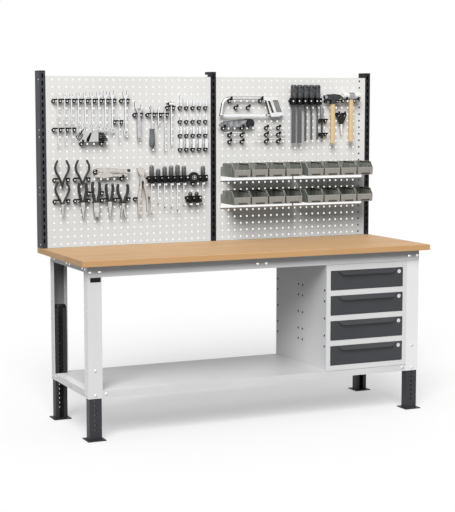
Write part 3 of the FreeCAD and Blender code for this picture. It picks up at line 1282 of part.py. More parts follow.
def make_tape_hooks():
    x = column_x(BAY_LEFT, 21)
    z = row_z(14)
    stub = rod_y(x, TOOL_Y - 12, HOOK_FRONT, z, TAPE_PIN)
    nose = rod_y(x, TOOL_Y - 13, TOOL_Y - 3, z, 4.0)
    rest = row_z(14) - 1 - TAPE_RADIUS - row_z(15)
    hook_places.append((x, z, TOOL_Y - 12))
    body = fuse([stub, rod_y(x, HOOK_FRONT, PANEL_FACE, z, BASE_RADIUS)])
    recess = rod_y(x, TOOL_Y - 13, TOOL_Y - 8.5, z, 4.4)
    bore = rod_y(x, TOOL_Y - 12, PANEL_FACE + 1, z, 2.3)
    lower = tip_hook(21, 15, BAY_LEFT, rest, rest + 6, TOOL_Y - 10)
    return [body.cut([recess, bore]), lower]


# Hacksaw: bent tube frame, blade with end clamps, and a D handle.
SAW_TUBE = 8.0
SAW_BEND = 46.0


def make_hacksaw():
    left = column_x(BAY_RIGHT, 0)
    tube_z = row_z(3) + SAW_SEAT + SEAT_GAP + SAW_TUBE
    blade_z = tube_z - 95.0
    handle_x = left + 258.0
    turn = math.radians(80)
    corner = V(left + 33, TOOL_Y, tube_z)
    points = []
    for angle in (turn / 2, turn):
        points.append(V(corner.x - SAW_BEND * math.sin(angle), TOOL_Y,
                        tube_z - SAW_BEND + SAW_BEND * math.cos(angle)))
    drop = points[1].z - blade_z
    foot = points[1] + V(-math.cos(turn), 0, -math.sin(turn)) * (drop / math.sin(turn))
    start = V(handle_x, TOOL_Y, tube_z)
    spine = Part.Wire([Part.makeLine(start, corner),
                       Part.Arc(corner, points[0], points[1]).toShape(),
                       Part.makeLine(points[1], foot)])
    section = Part.Wire([Part.makeCircle(SAW_TUBE, start, V(-1, 0, 0))])
    tube = spine.makePipeShell([section], True, True)
    clamp = rod_x(left - 30, left - 4, TOOL_Y, blade_z + 2, 6.0)
    blade = box(left - 8, left + 272, TOOL_Y - 0.8, TOOL_Y + 0.8, blade_z - 9, blade_z + 9)
    tension = rod_x(left + 258, left + 300, TOOL_Y, blade_z, 6.5)
    y0 = TOOL_Y - 11
    y1 = TOOL_Y + 9
    body = plate_xz([(left + 236, tube_z + 11), (left + 326, tube_z + 11),
                     (left + 332, tube_z - 8), (left + 362, blade_z + 20),
                     (left + 357, blade_z + 3), (left + 340, blade_z - 8),
                     (left + 284, blade_z - 10), (left + 276, blade_z + 10),
                     (left + 254, tube_z - 14), (left + 236, tube_z - 11)], y0, y1)
    finger = plate_xz([(left + 262, tube_z - 16), (left + 276, tube_z - 16),
                       (left + 302, blade_z + 14), (left + 287, blade_z + 14)], y0 - 1, y1 + 1)
    return fuse([tube, clamp, blade, tension, body.cut(finger)])


# Hand cutter: flat tapering body and a round head with two pivots.
def make_hand_cutter():
    left = column_x(BAY_RIGHT, 0)
    z = row_z(7) + CUTTER_SEAT + SEAT_GAP
    y0 = TOOL_Y - 6
    y1 = TOOL_Y + 6
    body = plate_xz([(left - 34, z + 10), (left - 20, z), (left + 130, z), (left + 160, z + 4),
                     (left + 160, z + 42), (left + 120, z + 38), (left - 14, z + 26)], y0, y1)
    lever = plate_xz([(left - 10, z + 25), (left + 120, z + 36), (left + 150, z + 46),
                      (left + 118, z + 44), (left - 10, z + 30)], TOOL_Y - 4, TOOL_Y + 4)
    head = rod_y(left + 156, y0 - 2, y1 + 2, z + 18, 26.0)
    throat = box(left + 150, left + 190, y0 - 4, y1 + 4, z - 14, z + 2)
    pivot = rod_y(left + 145, y0 - 5, y1, z + 24, 9.0)
    wheel = rod_y(left + 172, y0 - 4, y1, z + 16, 6.0)
    return fuse([body, lever, head.cut(throat), pivot, wheel])


# Scissors that hang by their loops.
def make_scissors():
    left = column_x(BAY_RIGHT, 19)
    right = column_x(BAY_RIGHT, 20)
    z = row_z(5) + LOOP_PIN - LOOP_BORE
    middle = (left + right) / 2
    y0 = TOOL_Y - 4
    y1 = TOOL_Y + 4
    loops = [rod_y(x, y0, y1, z, 14.0) for x in (left, right)]
    bores = [rod_y(x, y0 - 1, y1 + 1, z, LOOP_BORE) for x in (left, right)]
    yoke = plate_xz([(left - 12, z - 6), (middle, z - 4), (right + 12, z - 6),
                     (middle + 10, z - 52), (middle - 10, z - 52)], y0, y1)
    blades = plate_xz([(middle - 8, z - 50), (middle + 8, z - 50), (middle + 5, z - 90),
                       (middle + 0.5, z - 118), (middle - 6, z - 90)], TOOL_Y - 2.5, TOOL_Y + 2.5)
    rivet = rod_y(middle, y0 - 1, y1 + 1, z - 58, 3.5)
    return fuse(loops + [yoke, blades, rivet]).cut(bores)


def make_loop_hooks():
    hooks = []
    for column in (19, 20):
        x = column_x(BAY_RIGHT, column)
        z = row_z(5)
        pin = rod_y(x, TOOL_Y - 9, PANEL_FACE, z, LOOP_PIN)
        tip = box(x - STEM_HALF, x + STEM_HALF, TOOL_Y - 13, TOOL_Y - 8, z - 4, z + 17)
        base = rod_y(x, HOOK_FRONT, PANEL_FACE, z, BASE_RADIUS)
        hooks.append(fuse([base, pin, tip]))
    return hooks


# Drift punches lying on pairs of hooks: a parallel body that tapers to the left.
PUNCHES = ((1, 8, 88.0, 30.0), (1, 9, 100.0, 40.0), (7, 7, 110.0, 26.0), (7, 8, 122.0, 55.0),
           (7, 9, 122.0, 80.0))
SHORT_BAR = (2, 4, 82.0)
PUNCH_RADIUS = 4.5
PUNCH_SEAT = 11.0


def make_punches():
    punches = []
    for column, row, body, taper in PUNCHES:
        x = column_x(BAY_RIGHT, column) - 12
        z = row_z(row) + PUNCH_SEAT + SEAT_GAP + PUNCH_RADIUS
        shank = rod_x(x, x + body, TOOL_Y, z, PUNCH_RADIUS)
        point = Part.makeCone(PUNCH_RADIUS, 1.5, taper, V(x, TOOL_Y, z), V(-1, 0, 0))
        punches.append(fuse([shank, point]))
    column, row, length = SHORT_BAR
    x = column_x(BAY_RIGHT, column) + 9
    z = row_z(row) + PUNCH_SEAT + SEAT_GAP + 3.5
    punches.append(rod_x(x - 12, x - 12 + length, TOOL_Y, z, 3.5))
    return punches


def make_right_hooks():
    hooks = []
    for column in (1, 6):
        hooks.append(tip_hook(column, 3, BAY_RIGHT, SAW_SEAT, SAW_SEAT + 18, TOOL_Y - 12))
    for column in (0, 3):
        hooks.append(tip_hook(column, 7, BAY_RIGHT, CUTTER_SEAT, CUTTER_SEAT + 14, TOOL_Y - 9))
    for column, row, body, taper in PUNCHES:
        for step in (0, 2):
            hooks.append(tip_hook(column + step, row, BAY_RIGHT, PUNCH_SEAT, PUNCH_SEAT + 9,
                                  TOOL_Y - 7))
    column, row, length = SHORT_BAR
    for step in (0, 2):
        hooks.append(tip_hook(column + step, row, BAY_RIGHT, PUNCH_SEAT, PUNCH_SEAT + 9,
                              TOOL_Y - 7))
    return hooks


# Files, and a cold chisel that hangs between two pairs of arms.
FILE_COLUMNS = (11, 12, 13, 14, 15)
FILE_BLADES = ((25.0, 5.0, 237.0), (25.0, 5.0, 237.0), (9.5, 9.5, 228.0), (8.5, 8.5, 220.0),
               (8.0, 8.0, 220.0))


def make_files():
    files = []
    z = row_z(3)
    for column, (width, thick, reach) in zip(FILE_COLUMNS, FILE_BLADES):
        x = column_x(BAY_RIGHT, column) + FILE_BESIDE
        base = z + FILE_HIGH + SEAT_GAP
        top = z + 92.0
        grip = turned_z([(0, base), (14.5, base), (17, base + 8), (16.2, base + 36),
                         (17.3, top - 14), (16.3, top - 6), (13, top - 1), (9, top), (0, top)],
                        x, SADDLE_Y)
        neck = rod_z(x, SADDLE_Y, z + FILE_LOW - 12, base + 1, FILE_NECK)
        hang = rod_y(x, SADDLE_Y - 20, SADDLE_Y + 20, top - 15, 4.5)
        blade = box(x - width / 2, x + width / 2, SADDLE_Y - thick / 2, SADDLE_Y + thick / 2,
                    z - reach, z + FILE_LOW - 8)
        files.append(fuse([grip, neck, blade]).cut(hang))
    return files


CHISEL_X = 670.0


def make_chisel():
    z = row_z(6) + SEAT + SEAT_GAP
    x = CHISEL_X
    head = plate_xz([(x - 5, z), (x + 5, z), (x + 10, z + 22), (x + 10, z + 62),
                     (x - 10, z + 62), (x - 10, z + 22)], TOOL_Y - 4, TOOL_Y + 4)
    shaft = rod_z(x, TOOL_Y, z - 104, z + 2, 4.5)
    collar = rod_z(x, TOOL_Y, z - 112, z - 92, 7.0)
    return fuse([head, shaft, collar])


def make_file_hooks():
    hooks = []
    for column in range(FILE_COLUMNS[0], FILE_COLUMNS[-1] + 2):
        sides = (-1, 1)
        if column == FILE_COLUMNS[0]:
            sides = (1,)
        if column == FILE_COLUMNS[-1] + 1:
            sides = (-1,)
        hooks.append(saddle_hook(column, 3, BAY_RIGHT, FILE_LOW, FILE_HIGH, FILE_NECK, FILE_RING,
                                 FILE_BESIDE, FILE_SADDLE_PROUD, sides))
    for row in (6, 8):
        seat = SEAT if row == 6 else SEAT - 4
        room = rod_z(CHISEL_X, TOOL_Y, row_z(row), row_z(row) + 20, 4.9)
        left = arm_hook(16, row, BAY_RIGHT, None, CHISEL_X - 4.9, seat)
        hooks.append(left.cut(room))
        hooks.append(arm_hook(17, row, BAY_RIGHT, CHISEL_X + 4.9, None, seat))
    return hooks


# Engineer's hammer and soft-faced mallet with wooden handles.
HAMMER_X = 732.0


def make_hammer():
    z = row_z(3) + HAMMER_SEAT + SEAT_GAP
    x = HAMMER_X
    y0 = HAMMER_Y - 13
    y1 = HAMMER_Y + 13
    body = plate_xz([(x - 38, z), (x + 30, z), (x + 66, z + 10), (x + 66, z + 15),
                     (x + 40, z + 28), (x + 8, z + 32), (x - 38, z + 29)], y0, y1)
    face = rod_x(x - 56, x - 36, HAMMER_Y, z + 14, 12.5)
    eye = box(x - 15, x + 15, y0 + 1, y1 - 1, z - 24, z + 4)
    handle = box(x - 13, x + 13, HAMMER_Y - 9, HAMMER_Y + 9, z - 248, z - 20)
    sides = [edge for edge in handle.Edges if edge.BoundBox.ZLength > 100]
    return fuse([body, face, eye, handle.makeFillet(6.0, sides)])


def make_mallet():
    z = row_z(3) + HAMMER_SEAT + SEAT_GAP
    x = column_x(BAY_RIGHT, 21)
    radius = 20.0
    drum = rod_x(x - 18, x + 18, MALLET_Y, z + radius, radius)
    faces = rod_x(x - 56, x + 56, MALLET_Y, z + radius, radius - 1.0)
    edge_lift = radius - 1.0
    handle = box(x - 13, x + 13, MALLET_Y - 9, MALLET_Y + 9, z - 240, z + edge_lift)
    sides = [edge for edge in handle.Edges if edge.BoundBox.ZLength > 100]
    return fuse([drum, faces, handle.makeFillet(6.0, sides)])


def make_hammer_hooks():
    hooks = []
    left = column_x(BAY_RIGHT, 17)
    right = column_x(BAY_RIGHT, 19)
    z = row_z(3)
    for x, end in ((left, HAMMER_X - 16), (right, HAMMER_X + 16)):
        x0 = min(x - STEM_HALF, end)
        x1 = max(x + STEM_HALF, end)
        arm = box(x0, x1, HAMMER_Y - 10, HAMMER_Y + 4, z, z + HAMMER_SEAT)
        stem = box(x - STEM_HALF, x + STEM_HALF, HAMMER_Y, HOOK_FRONT + 4, z + STEM_RISE,
                   z + HAMMER_SEAT)
        hooks.append(fuse([hook_base(x, z, HOOK_FRONT), stem, arm]))
    for column in (20, 22):
        x = column_x(BAY_RIGHT, column)
        stem = box(x - STEM_HALF, x + STEM_HALF, MALLET_Y - 24, HOOK_FRONT + 4, z + STEM_RISE,
                   z + HAMMER_SEAT + 1)
        tip = box(x - STEM_HALF, x + STEM_HALF, MALLET_Y - 25, MALLET_Y - 20.5, z + STEM_RISE,
                  z + HAMMER_SEAT + 16)
        hooks.append(fuse([hook_base(x, z, HOOK_FRONT), stem, tip]))
    return hooks


# Build and save everything.
save("worktop", [make_worktop()])

front_leg = make_front_left_leg(FLANGE_BOLT_FRONT)
rear_leg = mirrored_y(make_front_left_leg(2 * FRAME_MIDDLE - FLANGE_BOLT_REAR))
save("leg_front_left", [front_leg])
save("leg_front_right", [mirrored_x(front_leg)])
save("leg_rear_left", [rear_leg])
save("leg_rear_right", [mirrored_x(rear_leg)])

foot = make_front_left_foot()
save("foot_front_left", [foot])
save("foot_front_right", [mirrored_x(foot)])
save("foot_rear_left", [mirrored_y(foot)])
save("foot_rear_right", [mirrored_x(mirrored_y(foot))])

top_rail = make_left_side_rail(UNDER_TOP - RAIL_HEIGHT)
low_rail = make_left_side_rail(LEG_BOTTOM)
save("side_rail_top_left", [top_rail])
save("side_rail_top_right", [mirrored_x(top_rail)])
save("side_rail_low_left", [low_rail])
save("side_rail_low_right", [mirrored_x(low_rail)])

front_rail = make_front_rail()
save("front_rail", [front_rail])
save("rear_rail", [mirrored_y(front_rail)])
save("cross_beam", [make_cross_beam()])
save("bottom_shelf", [make_bottom_shelf()])
save("frame_bolts", make_frame_bolts())
save("label_plate", [make_label_plate()])

upright_edge = HALF_WIDTH - UPRIGHT_WIDTH / 2
save("upright_left", [make_upright(-upright_edge, False)])
save("upright_middle", [make_upright(0.0, True)])
save("upright_right", [make_upright(upright_edge, False)])
for level in range(PANEL_ROWS_OF_PANELS):
    bottom = PANEL_BASE + level * PANEL_PITCH
    save("panel_left_%d" % (level + 1), [make_panel(BAY_LEFT, bottom)])
    save("panel_right_%d" % (level + 1), [make_panel(BAY_RIGHT, bottom)])

save("cupboard_shell", [make_cupboard_shell()])
save("cupboard_front", [make_cupboard_front()])
save("drawer_runners", make_runners())
for index in range(DRAWER_COUNT):
    save("drawer_box_%d" % (index + 1), [make_drawer_box(index)])
    save("drawer_front_%d" % (index + 1), [make_drawer_front(index)])
    save("lock_plug_%d" % (index + 1), [make_lock_plug(index)])

save("bin_rails", make_bin_rails())
save("bins_upper", make_bins(14))
save("bins_lower", make_bins(18))

save("wrenches", make_wrenches())
save("ratchet_tools", make_ratchet_tools())
save("sockets", make_sockets())
save("hex_key_set", make_hex_key_set())
save("circlip_pliers", make_circlip_set())
save("pliers", make_pliers())
save("screwdrivers", make_screwdrivers())
save("tape_roll", [make_tape_roll()])
save("hacksaw", [make_hacksaw()])
save("files_and_punches", make_files() + [make_chisel()] + make_punches())
save("hammers", [make_hammer(), make_mallet()])
save("cutters", [make_hand_cutter(), make_scissors()])

hooks = make_wrench_hooks() + make_ratchet_hooks() + make_socket_hooks() + make_hex_key_hooks()
hooks = hooks + make_circlip_hooks() + make_pliers_hooks() + make_driver_hooks()
hooks = hooks + make_tape_hooks() + make_right_hooks() + make_file_hooks() + make_loop_hooks()
hooks = hooks + make_hammer_hooks()
save("tool_hooks", hooks)
save("panel_screws", make_panel_screws(hook_places))
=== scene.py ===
import bpy
import bmesh
import math
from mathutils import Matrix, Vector


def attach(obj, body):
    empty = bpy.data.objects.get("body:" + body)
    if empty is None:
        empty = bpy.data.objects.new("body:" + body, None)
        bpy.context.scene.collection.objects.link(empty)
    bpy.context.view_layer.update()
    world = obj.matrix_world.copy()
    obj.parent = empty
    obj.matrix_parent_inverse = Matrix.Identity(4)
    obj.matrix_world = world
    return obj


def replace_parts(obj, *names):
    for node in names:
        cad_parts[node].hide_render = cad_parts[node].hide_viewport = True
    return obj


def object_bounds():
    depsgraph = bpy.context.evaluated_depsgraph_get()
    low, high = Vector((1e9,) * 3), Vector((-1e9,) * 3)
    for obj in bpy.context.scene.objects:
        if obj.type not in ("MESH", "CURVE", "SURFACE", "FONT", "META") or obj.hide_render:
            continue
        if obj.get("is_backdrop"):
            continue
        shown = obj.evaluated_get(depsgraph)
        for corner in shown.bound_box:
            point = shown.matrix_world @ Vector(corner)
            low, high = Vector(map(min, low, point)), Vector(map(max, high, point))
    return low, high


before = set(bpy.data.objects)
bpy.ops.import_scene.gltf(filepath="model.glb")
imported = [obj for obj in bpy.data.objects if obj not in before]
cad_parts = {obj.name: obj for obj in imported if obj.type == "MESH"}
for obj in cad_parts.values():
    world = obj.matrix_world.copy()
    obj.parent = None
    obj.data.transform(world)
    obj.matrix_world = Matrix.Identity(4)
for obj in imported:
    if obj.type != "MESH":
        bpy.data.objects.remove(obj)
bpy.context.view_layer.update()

# Camera: it stands left of the bench and a little above it, and looks down at it slightly.
# Its place was worked out from the perforated wall, whose holes are 38 mm apart.
scene = bpy.context.scene
scene.view_settings.view_transform = "Standard"


def placed(name, data):
    """A new object with the given data, put in the scene."""
    piece = bpy.data.objects.new(name, data)
    scene.collection.objects.link(piece)
    return piece


camera = placed("camera", bpy.data.cameras.new("camera"))
camera.data.lens = 100.75
camera.data.sensor_width = 36.0
camera.location = (-3.2535, -7.0123, 1.7039)
camera.rotation_euler = (math.radians(90.0 - 6.234), 0.0, math.radians(-24.563))
camera.data.clip_end = 200.0
scene.camera = camera


# Light: a bright even room, and one large soft lamp high at the front left.
# The room shows white to the camera and in the polished steel.
ROOM_LOW = 0.05
ROOM_HIGH = 0.55
SUN_STRENGTH = 3.1
SUN_SPREAD = math.radians(36.0)
SUN_HEADING = Vector((0.36, 0.64, -0.68))
sun = placed("key_lamp", bpy.data.lights.new("key_lamp", "SUN"))
sun.data.energy = SUN_STRENGTH
sun.data.angle = SUN_SPREAD
sun.rotation_euler = SUN_HEADING.to_track_quat("-Z", "Y").to_euler()

room = bpy.data.worlds.new("room")
scene.world = room
room.use_nodes = True
room_nodes = room.node_tree.nodes
room_links = room.node_tree.links
plain = room_nodes["Background"]
sky_place = room_nodes.new("ShaderNodeTexCoord")
sky_parts = room_nodes.new("ShaderNodeSeparateXYZ")
sky_level = room_nodes.new("ShaderNodeMapRange")
sky_level.inputs["To Min"].default_value = ROOM_LOW
sky_level.inputs["To Max"].default_value = ROOM_HIGH
room_links.new(sky_place.outputs["Generated"], sky_parts.inputs[0])
room_links.new(sky_parts.outputs[2], sky_level.inputs["Value"])
room_links.new(sky_level.outputs[0], plain.inputs["Strength"])
plain.inputs["Color"].default_value = (1.0, 1.0, 1.0, 1.0)
white = room_nodes.new("ShaderNodeBackground")
white.inputs["Color"].default_value = (1.0, 1.0, 1.0, 1.0)


def seen_as(tree, thrown, seen, end):
    """Shows one shader to the camera and to polished metal, and lights the rest by the other."""
    path = tree.nodes.new("ShaderNodeLightPath")
    either = tree.nodes.new("ShaderNodeMath")
    either.operation = "MAXIMUM"
    choice = tree.nodes.new("ShaderNodeMixShader")
    tree.links.new(path.outputs["Is Camera Ray"], either.inputs[0])
    tree.links.new(path.outputs["Is Glossy Ray"], either.inputs[1])
    tree.links.new(either.outputs[0], choice.inputs["Fac"])
    tree.links.new(thrown.outputs[0], choice.inputs[1])
    tree.links.new(seen.outputs[0], choice.inputs[2])
    tree.links.new(choice.outputs[0], end.inputs["Surface"])


seen_as(room.node_tree, plain, white, room_nodes["World Output"])


# Worktop: beech staves glued side by side, sanded and lacquered, 30 mm thick with eased edges.
# The staves run the length of the bench; the lacquer is satin and shows the grain.
class Shade:
    """A shader socket that can be added, multiplied and blended in plain expressions."""

    def __init__(self, tree, socket=None):
        self.tree = tree
        self.socket = socket

    def node(self, kind, settings=None, sockets=None, out=0):
        made = self.tree.nodes.new(kind)
        for name, value in (settings or {}).items():
            setattr(made, name, value)
        for name, value in (sockets or {}).items():
            if isinstance(value, Shade):
                self.tree.links.new(value.socket, made.inputs[name])
            else:
                made.inputs[name].default_value = value
        return Shade(self.tree, made.outputs[out])

    def math(self, operation, *values):
        """A Math node on this socket and others, or on plain numbers."""
        return self.node("ShaderNodeMath", {"operation": operation}, dict(enumerate(values)))

    def apply(self, operation):
        return self.math(operation, self)

    def __add__(self, other):
        return self.math("ADD", self, other)

    __radd__ = __add__

    def __sub__(self, other):
        return self.math("SUBTRACT", self, other)

    def __rsub__(self, other):
        return self.math("SUBTRACT", other, self)

    def __mul__(self, other):
        return self.math("MULTIPLY", self, other)

    __rmul__ = __mul__

    def __truediv__(self, other):
        return self.math("DIVIDE", self, other)

    def __rtruediv__(self, other):
        return self.math("DIVIDE", other, self)

    def __gt__(self, other):
        return self.math("GREATER_THAN", self, other)

    def __lt__(self, other):
        return self.math("LESS_THAN", self, other)

    def step(self, low, high):
        """0 below the low value, 1 above the high one, and a soft rise between them."""
        return self.node("ShaderNodeMapRange", {"interpolation_type": "SMOOTHSTEP"},
                         {"Value": self, "From Min": low, "From Max": high})

    def blend(self, first, second):
        """The first colour where this is 0 and the second where it is 1."""
        return self.node("ShaderNodeMix", {"data_type": "RGBA"}, {0: self, 6: first, 7: second}, 2)

    def place(self, scale=(1.0, 1.0, 1.0)):
        where = self.node("ShaderNodeTexCoord", out=3)
        return self.node("ShaderNodeMapping", None, {"Vector": where, "Scale": scale})

    def noise(self, scale, detail=2.0, stretch=(1.0, 1.0, 1.0), roughness=0.5):
        return self.node("ShaderNodeTexNoise", None, {"Vector": self.place(stretch), "Scale": scale,
                                                      "Detail": detail, "Roughness": roughness})

    def axes(self):
        """The place along the bench, across it and up it, in metres."""
        parts = self.node("ShaderNodeSeparateXYZ", None, {"Vector": self.place()})
        owner = parts.socket.node
        return [Shade(self.tree, owner.outputs[index]) for index in range(3)]

    def bump(self, height, distance, strength=1.0):
        return self.node("ShaderNodeBump", None, {"Height": height, "Distance": distance,
                                                  "Strength": strength})

    def facing(self):
        """How far the surface faces the front or the back: 0 on its sides, 1 when square on."""
        normal = self.node("ShaderNodeNewGeometry", out=1)
        return self.node("ShaderNodeSeparateXYZ", None, {"Vector": normal}, 1).apply("ABSOLUTE")

    def rim(self, width):
        """1 along the sharp edges of a piece, within the width, and 0 away from them."""
        rounded = self.node("ShaderNodeBevel", {"samples": 4}, {"Radius": width})
        normal = self.node("ShaderNodeNewGeometry", out=1)
        level = self.node("ShaderNodeVectorMath", {"operation": "DOT_PRODUCT"},
                          {0: rounded, 1: normal}, 1)
        return 1.0 - level.step(0.80, 0.985)


def srgb(red, green, blue):
    parts = []
    for value in (red, green, blue):
        part = value / 255.0
        parts.append(part / 12.92 if part <= 0.04045 else ((part + 0.055) / 1.055) ** 2.4)
    return (parts[0], parts[1], parts[2], 1.0)


def grey(level):
    return srgb(level, level, level)


def finish(name, **sockets):
    """A material of one surface shader, whose sockets take the values or links that are given."""
    material = bpy.data.materials.new(name)
    material.use_nodes = True
    surface = material.node_tree.nodes["Principled BSDF"]
    shade = Shade(material.node_tree)
    for key, value in sockets.items():
        label = key.replace("_", " ")
        result = value(shade) if callable(value) else value
        if isinstance(result, Shade):
            material.node_tree.links.new(result.socket, surface.inputs[label])
        else:
            surface.inputs[label].default_value = result
    return material


def coat_node(node, material):
    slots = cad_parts[node].material_slots
    for slot in slots:
        slot.material = material


STAVE_WIDTH = 0.043
STAVE_LENGTH = 0.62
STAVE_STAGGER = 3.0
LANE_SEED = 7.3
PIECE_SEED = 3.1


def stave_tint(shade):
    # Each stave has its own tone, taken from its place across the board and along it.
    along, across, up = shade.axes()
    lane = (across / STAVE_WIDTH).apply("FLOOR")
    shift = shade.node("ShaderNodeTexWhiteNoise", {"noise_dimensions": "1D"}, {"W": lane})
    piece = (along / STAVE_LENGTH + shift * STAVE_STAGGER).apply("FLOOR")
    return shade.node("ShaderNodeTexWhiteNoise", {"noise_dimensions": "1D"},
                      {"W": lane * LANE_SEED + piece * PIECE_SEED})


def beech_colour(shade):
    grain = shade.noise(9.0, 5.0, (1.2, 22.0, 22.0), 0.6)
    flecks = shade.noise(70.0, 2.0, (1.0, 9.0, 9.0)).step(0.60, 0.72)
    tone = stave_tint(shade).blend(srgb(199, 161, 118), srgb(211, 174, 131))
    figured = (grain.step(0.35, 0.75) * 0.5).blend(tone, srgb(180, 137, 90))
    wood = (flecks * 0.25).blend(figured, srgb(156, 112, 74))
    # The lacquer lies thicker on the long edges, which look more orange.
    edged = (shade.facing() * 0.7).blend(wood, srgb(216, 168, 116))
    # What the wood throws back on the wall behind it is kept low and neutral.
    thrown = shade.node("ShaderNodeLightPath", out=2)
    return thrown.blend(edged, srgb(92, 91, 90))


def beech_height(shade):
    pores = shade.noise(60.0, 3.0, (1.0, 14.0, 14.0))
    return shade.bump(pores, 0.0003, 0.25)


beech = finish("lacquered_beech", Base_Color=beech_colour,
               Roughness=lambda s: s.noise(25.0, 2.0, (1.0, 8.0, 8.0)) * 0.12 + 0.50,
               Normal=beech_height, Specular_IOR_Level=0.3)
coat_node("worktop", beech)


# Frame rails: folded steel sheet, powder coated in light grey and bolted to the legs.
# The powder leaves a fine orange peel and specks, and its tone drifts a little.
PEEL_DEPTH = 0.00006


def powder_coat(name, colour, second, rough, gloss=0.5, part=None, other=None):
    """A powder coat in two close tones; the part of the surface that is named takes another."""
    def tinted(shade):
        drift = shade.noise(3.5, 3.0).step(0.3, 0.7)
        specks = shade.noise(900.0, 1.0).step(0.62, 0.75) * 0.35
        skin = specks.blend(drift.blend(colour, second), second)
        return part(shade).blend(skin, other) if part else skin

    def uneven(shade):
        return shade.noise(14.0, 2.0) * 0.10 + rough

    def peeled(shade):
        return shade.bump(shade.noise(420.0, 2.0), PEEL_DEPTH, 0.5)

    return finish(name, Base_Color=tinted, Roughness=uneven, Normal=peeled,
                  Specular_IOR_Level=gloss)


light_grey = powder_coat("light_grey_coat", grey(234), grey(229), 0.42)
for name in ("side_rail_top_left", "side_rail_top_right", "side_rail_low_left",
             "side_rail_low_right", "front_rail", "rear_rail", "cross_beam"):
    coat_node(name, light_grey)


# Legs: open channels folded from the same sheet, which hold the feet.
# The front right one has a paler coat and the front left one paler sides, a painted light.
sides_painted_lit = powder_coat("leg_coat_painted_lit_sides", grey(234), grey(229), 0.42,
                        part=lambda s: 1.0 - s.facing(), other=grey(253))
front_painted_lit = powder_coat("leg_coat_painted_lit", grey(248), grey(244), 0.42)
coat_node("leg_front_left", sides_painted_lit)
coat_node("leg_front_right", front_painted_lit)
REAR_LEG_FRONT = 0.220
LEG_LIP = 0.004
LEG_SHADE_RISE = (0.35, 0.90)


# Painted shade: the insides of the rear legs are darkened, most near the top.
def leg_inside_painted_shade(shade):
    along, across, up = shade.axes()
    shade_amount = up.step(*LEG_SHADE_RISE) * 0.45 + 0.55
    return shade.facing() * (across > REAR_LEG_FRONT + LEG_LIP) * shade_amount


rear_coat = powder_coat("rear_leg_coat", grey(232), grey(226), 0.46,
                        part=leg_inside_painted_shade, other=srgb(70, 70, 72))
coat_node("leg_rear_left", rear_coat)
coat_node("leg_rear_right", rear_coat)


# Shelf: a folded tray between the low rails, in the same grey.
# Away from its front faces it is painted darker towards the back and the cupboard, a painted shade.
SHELF_SHADE_DEPTH = (-0.34, 0.0)
SHELF_SHADE_WIDTH = (-0.9, 0.2)


def shelf_painted_shade(shade):
    along, across, up = shade.axes()
    worn_and_shaded = across.step(*SHELF_SHADE_DEPTH) * 0.5 + along.step(*SHELF_SHADE_WIDTH) * 0.5
    return (1.0 - shade.facing()) * worn_and_shaded


shelf_coat = powder_coat("shelf_coat", grey(228), grey(222), 0.42,
                         part=shelf_painted_shade, other=grey(188))
coat_node("bottom_shelf", shelf_coat)


# Frame bolts: M8 button-head screws with a hexagon socket, zinc plated.
# They hold the legs to the rails, and pin each foot in its leg.
WEAR_SCALE = 160.0
PAINTED_EDGE_SHADE = (0.018, 0.018, 0.02, 1.0)


def worn_metal(name, colour, dark, rough, grain=(1.0, 1.0, 1.0), depth=0.00004, flank_shade=0.0,
               band=(0.25, 0.8), rim=0.0, rim_width=0.0012):
    """Handled metal: scored along its grain, with painted shade on its flanks and along its edges.
    """
    def tinted(shade):
        skin = shade.noise(WEAR_SCALE * 0.35, 3.0, grain).step(0.3, 0.75).blend(colour, dark)
        # Painted shade: the flanks are darkened, standing in for the dark room that polished sides
        # reflect.
        if flank_shade:
            skin = ((1.0 - shade.facing().step(*band)) * flank_shade).blend(skin, PAINTED_EDGE_SHADE)
        # Painted shade: a dark line along the sharp edges.
        if rim:
            skin = (shade.rim(rim_width) * rim).blend(skin, PAINTED_EDGE_SHADE)
        return skin

    def uneven(shade):
        return shade.noise(WEAR_SCALE, 2.0, grain) * 0.18 + rough

    def scored(shade):
        return shade.bump(shade.noise(WEAR_SCALE * 4.0, 2.0, grain), depth, 0.4)

    return finish(name, Base_Color=tinted, Metallic=1.0, Roughness=uneven, Normal=scored)


zinc_painted_bright = worn_metal("zinc_plate_painted_bright", grey(254), srgb(240, 241, 243), 0.10,
                      depth=0.00001)
zinc_dull = worn_metal("zinc_plate_dull", srgb(214, 215, 217), srgb(186, 188, 191), 0.30)
WELD = 1e-6
CREASE = math.radians(28.0)


def dressed(node, materials, choose):
    """A finished copy of a CAD node: merged, smooth, with a material for each of its faces."""
    shape = bmesh.new()
    shape.from_mesh(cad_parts[node].data)
    bmesh.ops.remove_doubles(shape, verts=shape.verts, dist=WELD)
    for face in shape.faces:
        face.material_index = choose(face.calc_center_median())
        face.smooth = True
    mesh = bpy.data.meshes.new(node + "_finished")
    shape.to_mesh(mesh)
    shape.free()
    if "custom_normal" in mesh.attributes:
        mesh.attributes.remove(mesh.attributes["custom_normal"])
    for material in materials:
        mesh.materials.append(material)
    mesh.set_sharp_from_angle(angle=CREASE)
    piece = placed(node + "_finished", mesh)
    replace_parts(piece, node)
    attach(piece, "frame")
    return piece


# The bolts under the top have a brighter zinc, a painted light in the worktop's shade; the rest are
# duller.
PAINTED_BRIGHT_ABOVE = 0.8
dressed("frame_bolts", [zinc_dull, zinc_painted_bright], lambda at: int(at.z > PAINTED_BRIGHT_ABOVE))


# Feet: lipped steel channels on square base plates, powder coated in anthracite.
# A row of holes up the front sets the height of the bench.
anthracite = powder_coat("anthracite_coat", srgb(40, 40, 45), srgb(34, 34, 39), 0.46)
# Painted shade: the rear feet, under the bench, take a darker copy of the coat.
shaded_anthracite = powder_coat("anthracite_coat_rear_painted_shade", srgb(28, 28, 31), srgb(22, 22, 25), 0.50)
for side in ("left", "right"):
    coat_node("foot_front_" + side, anthracite)
    coat_node("foot_rear_" + side, shaded_anthracite)


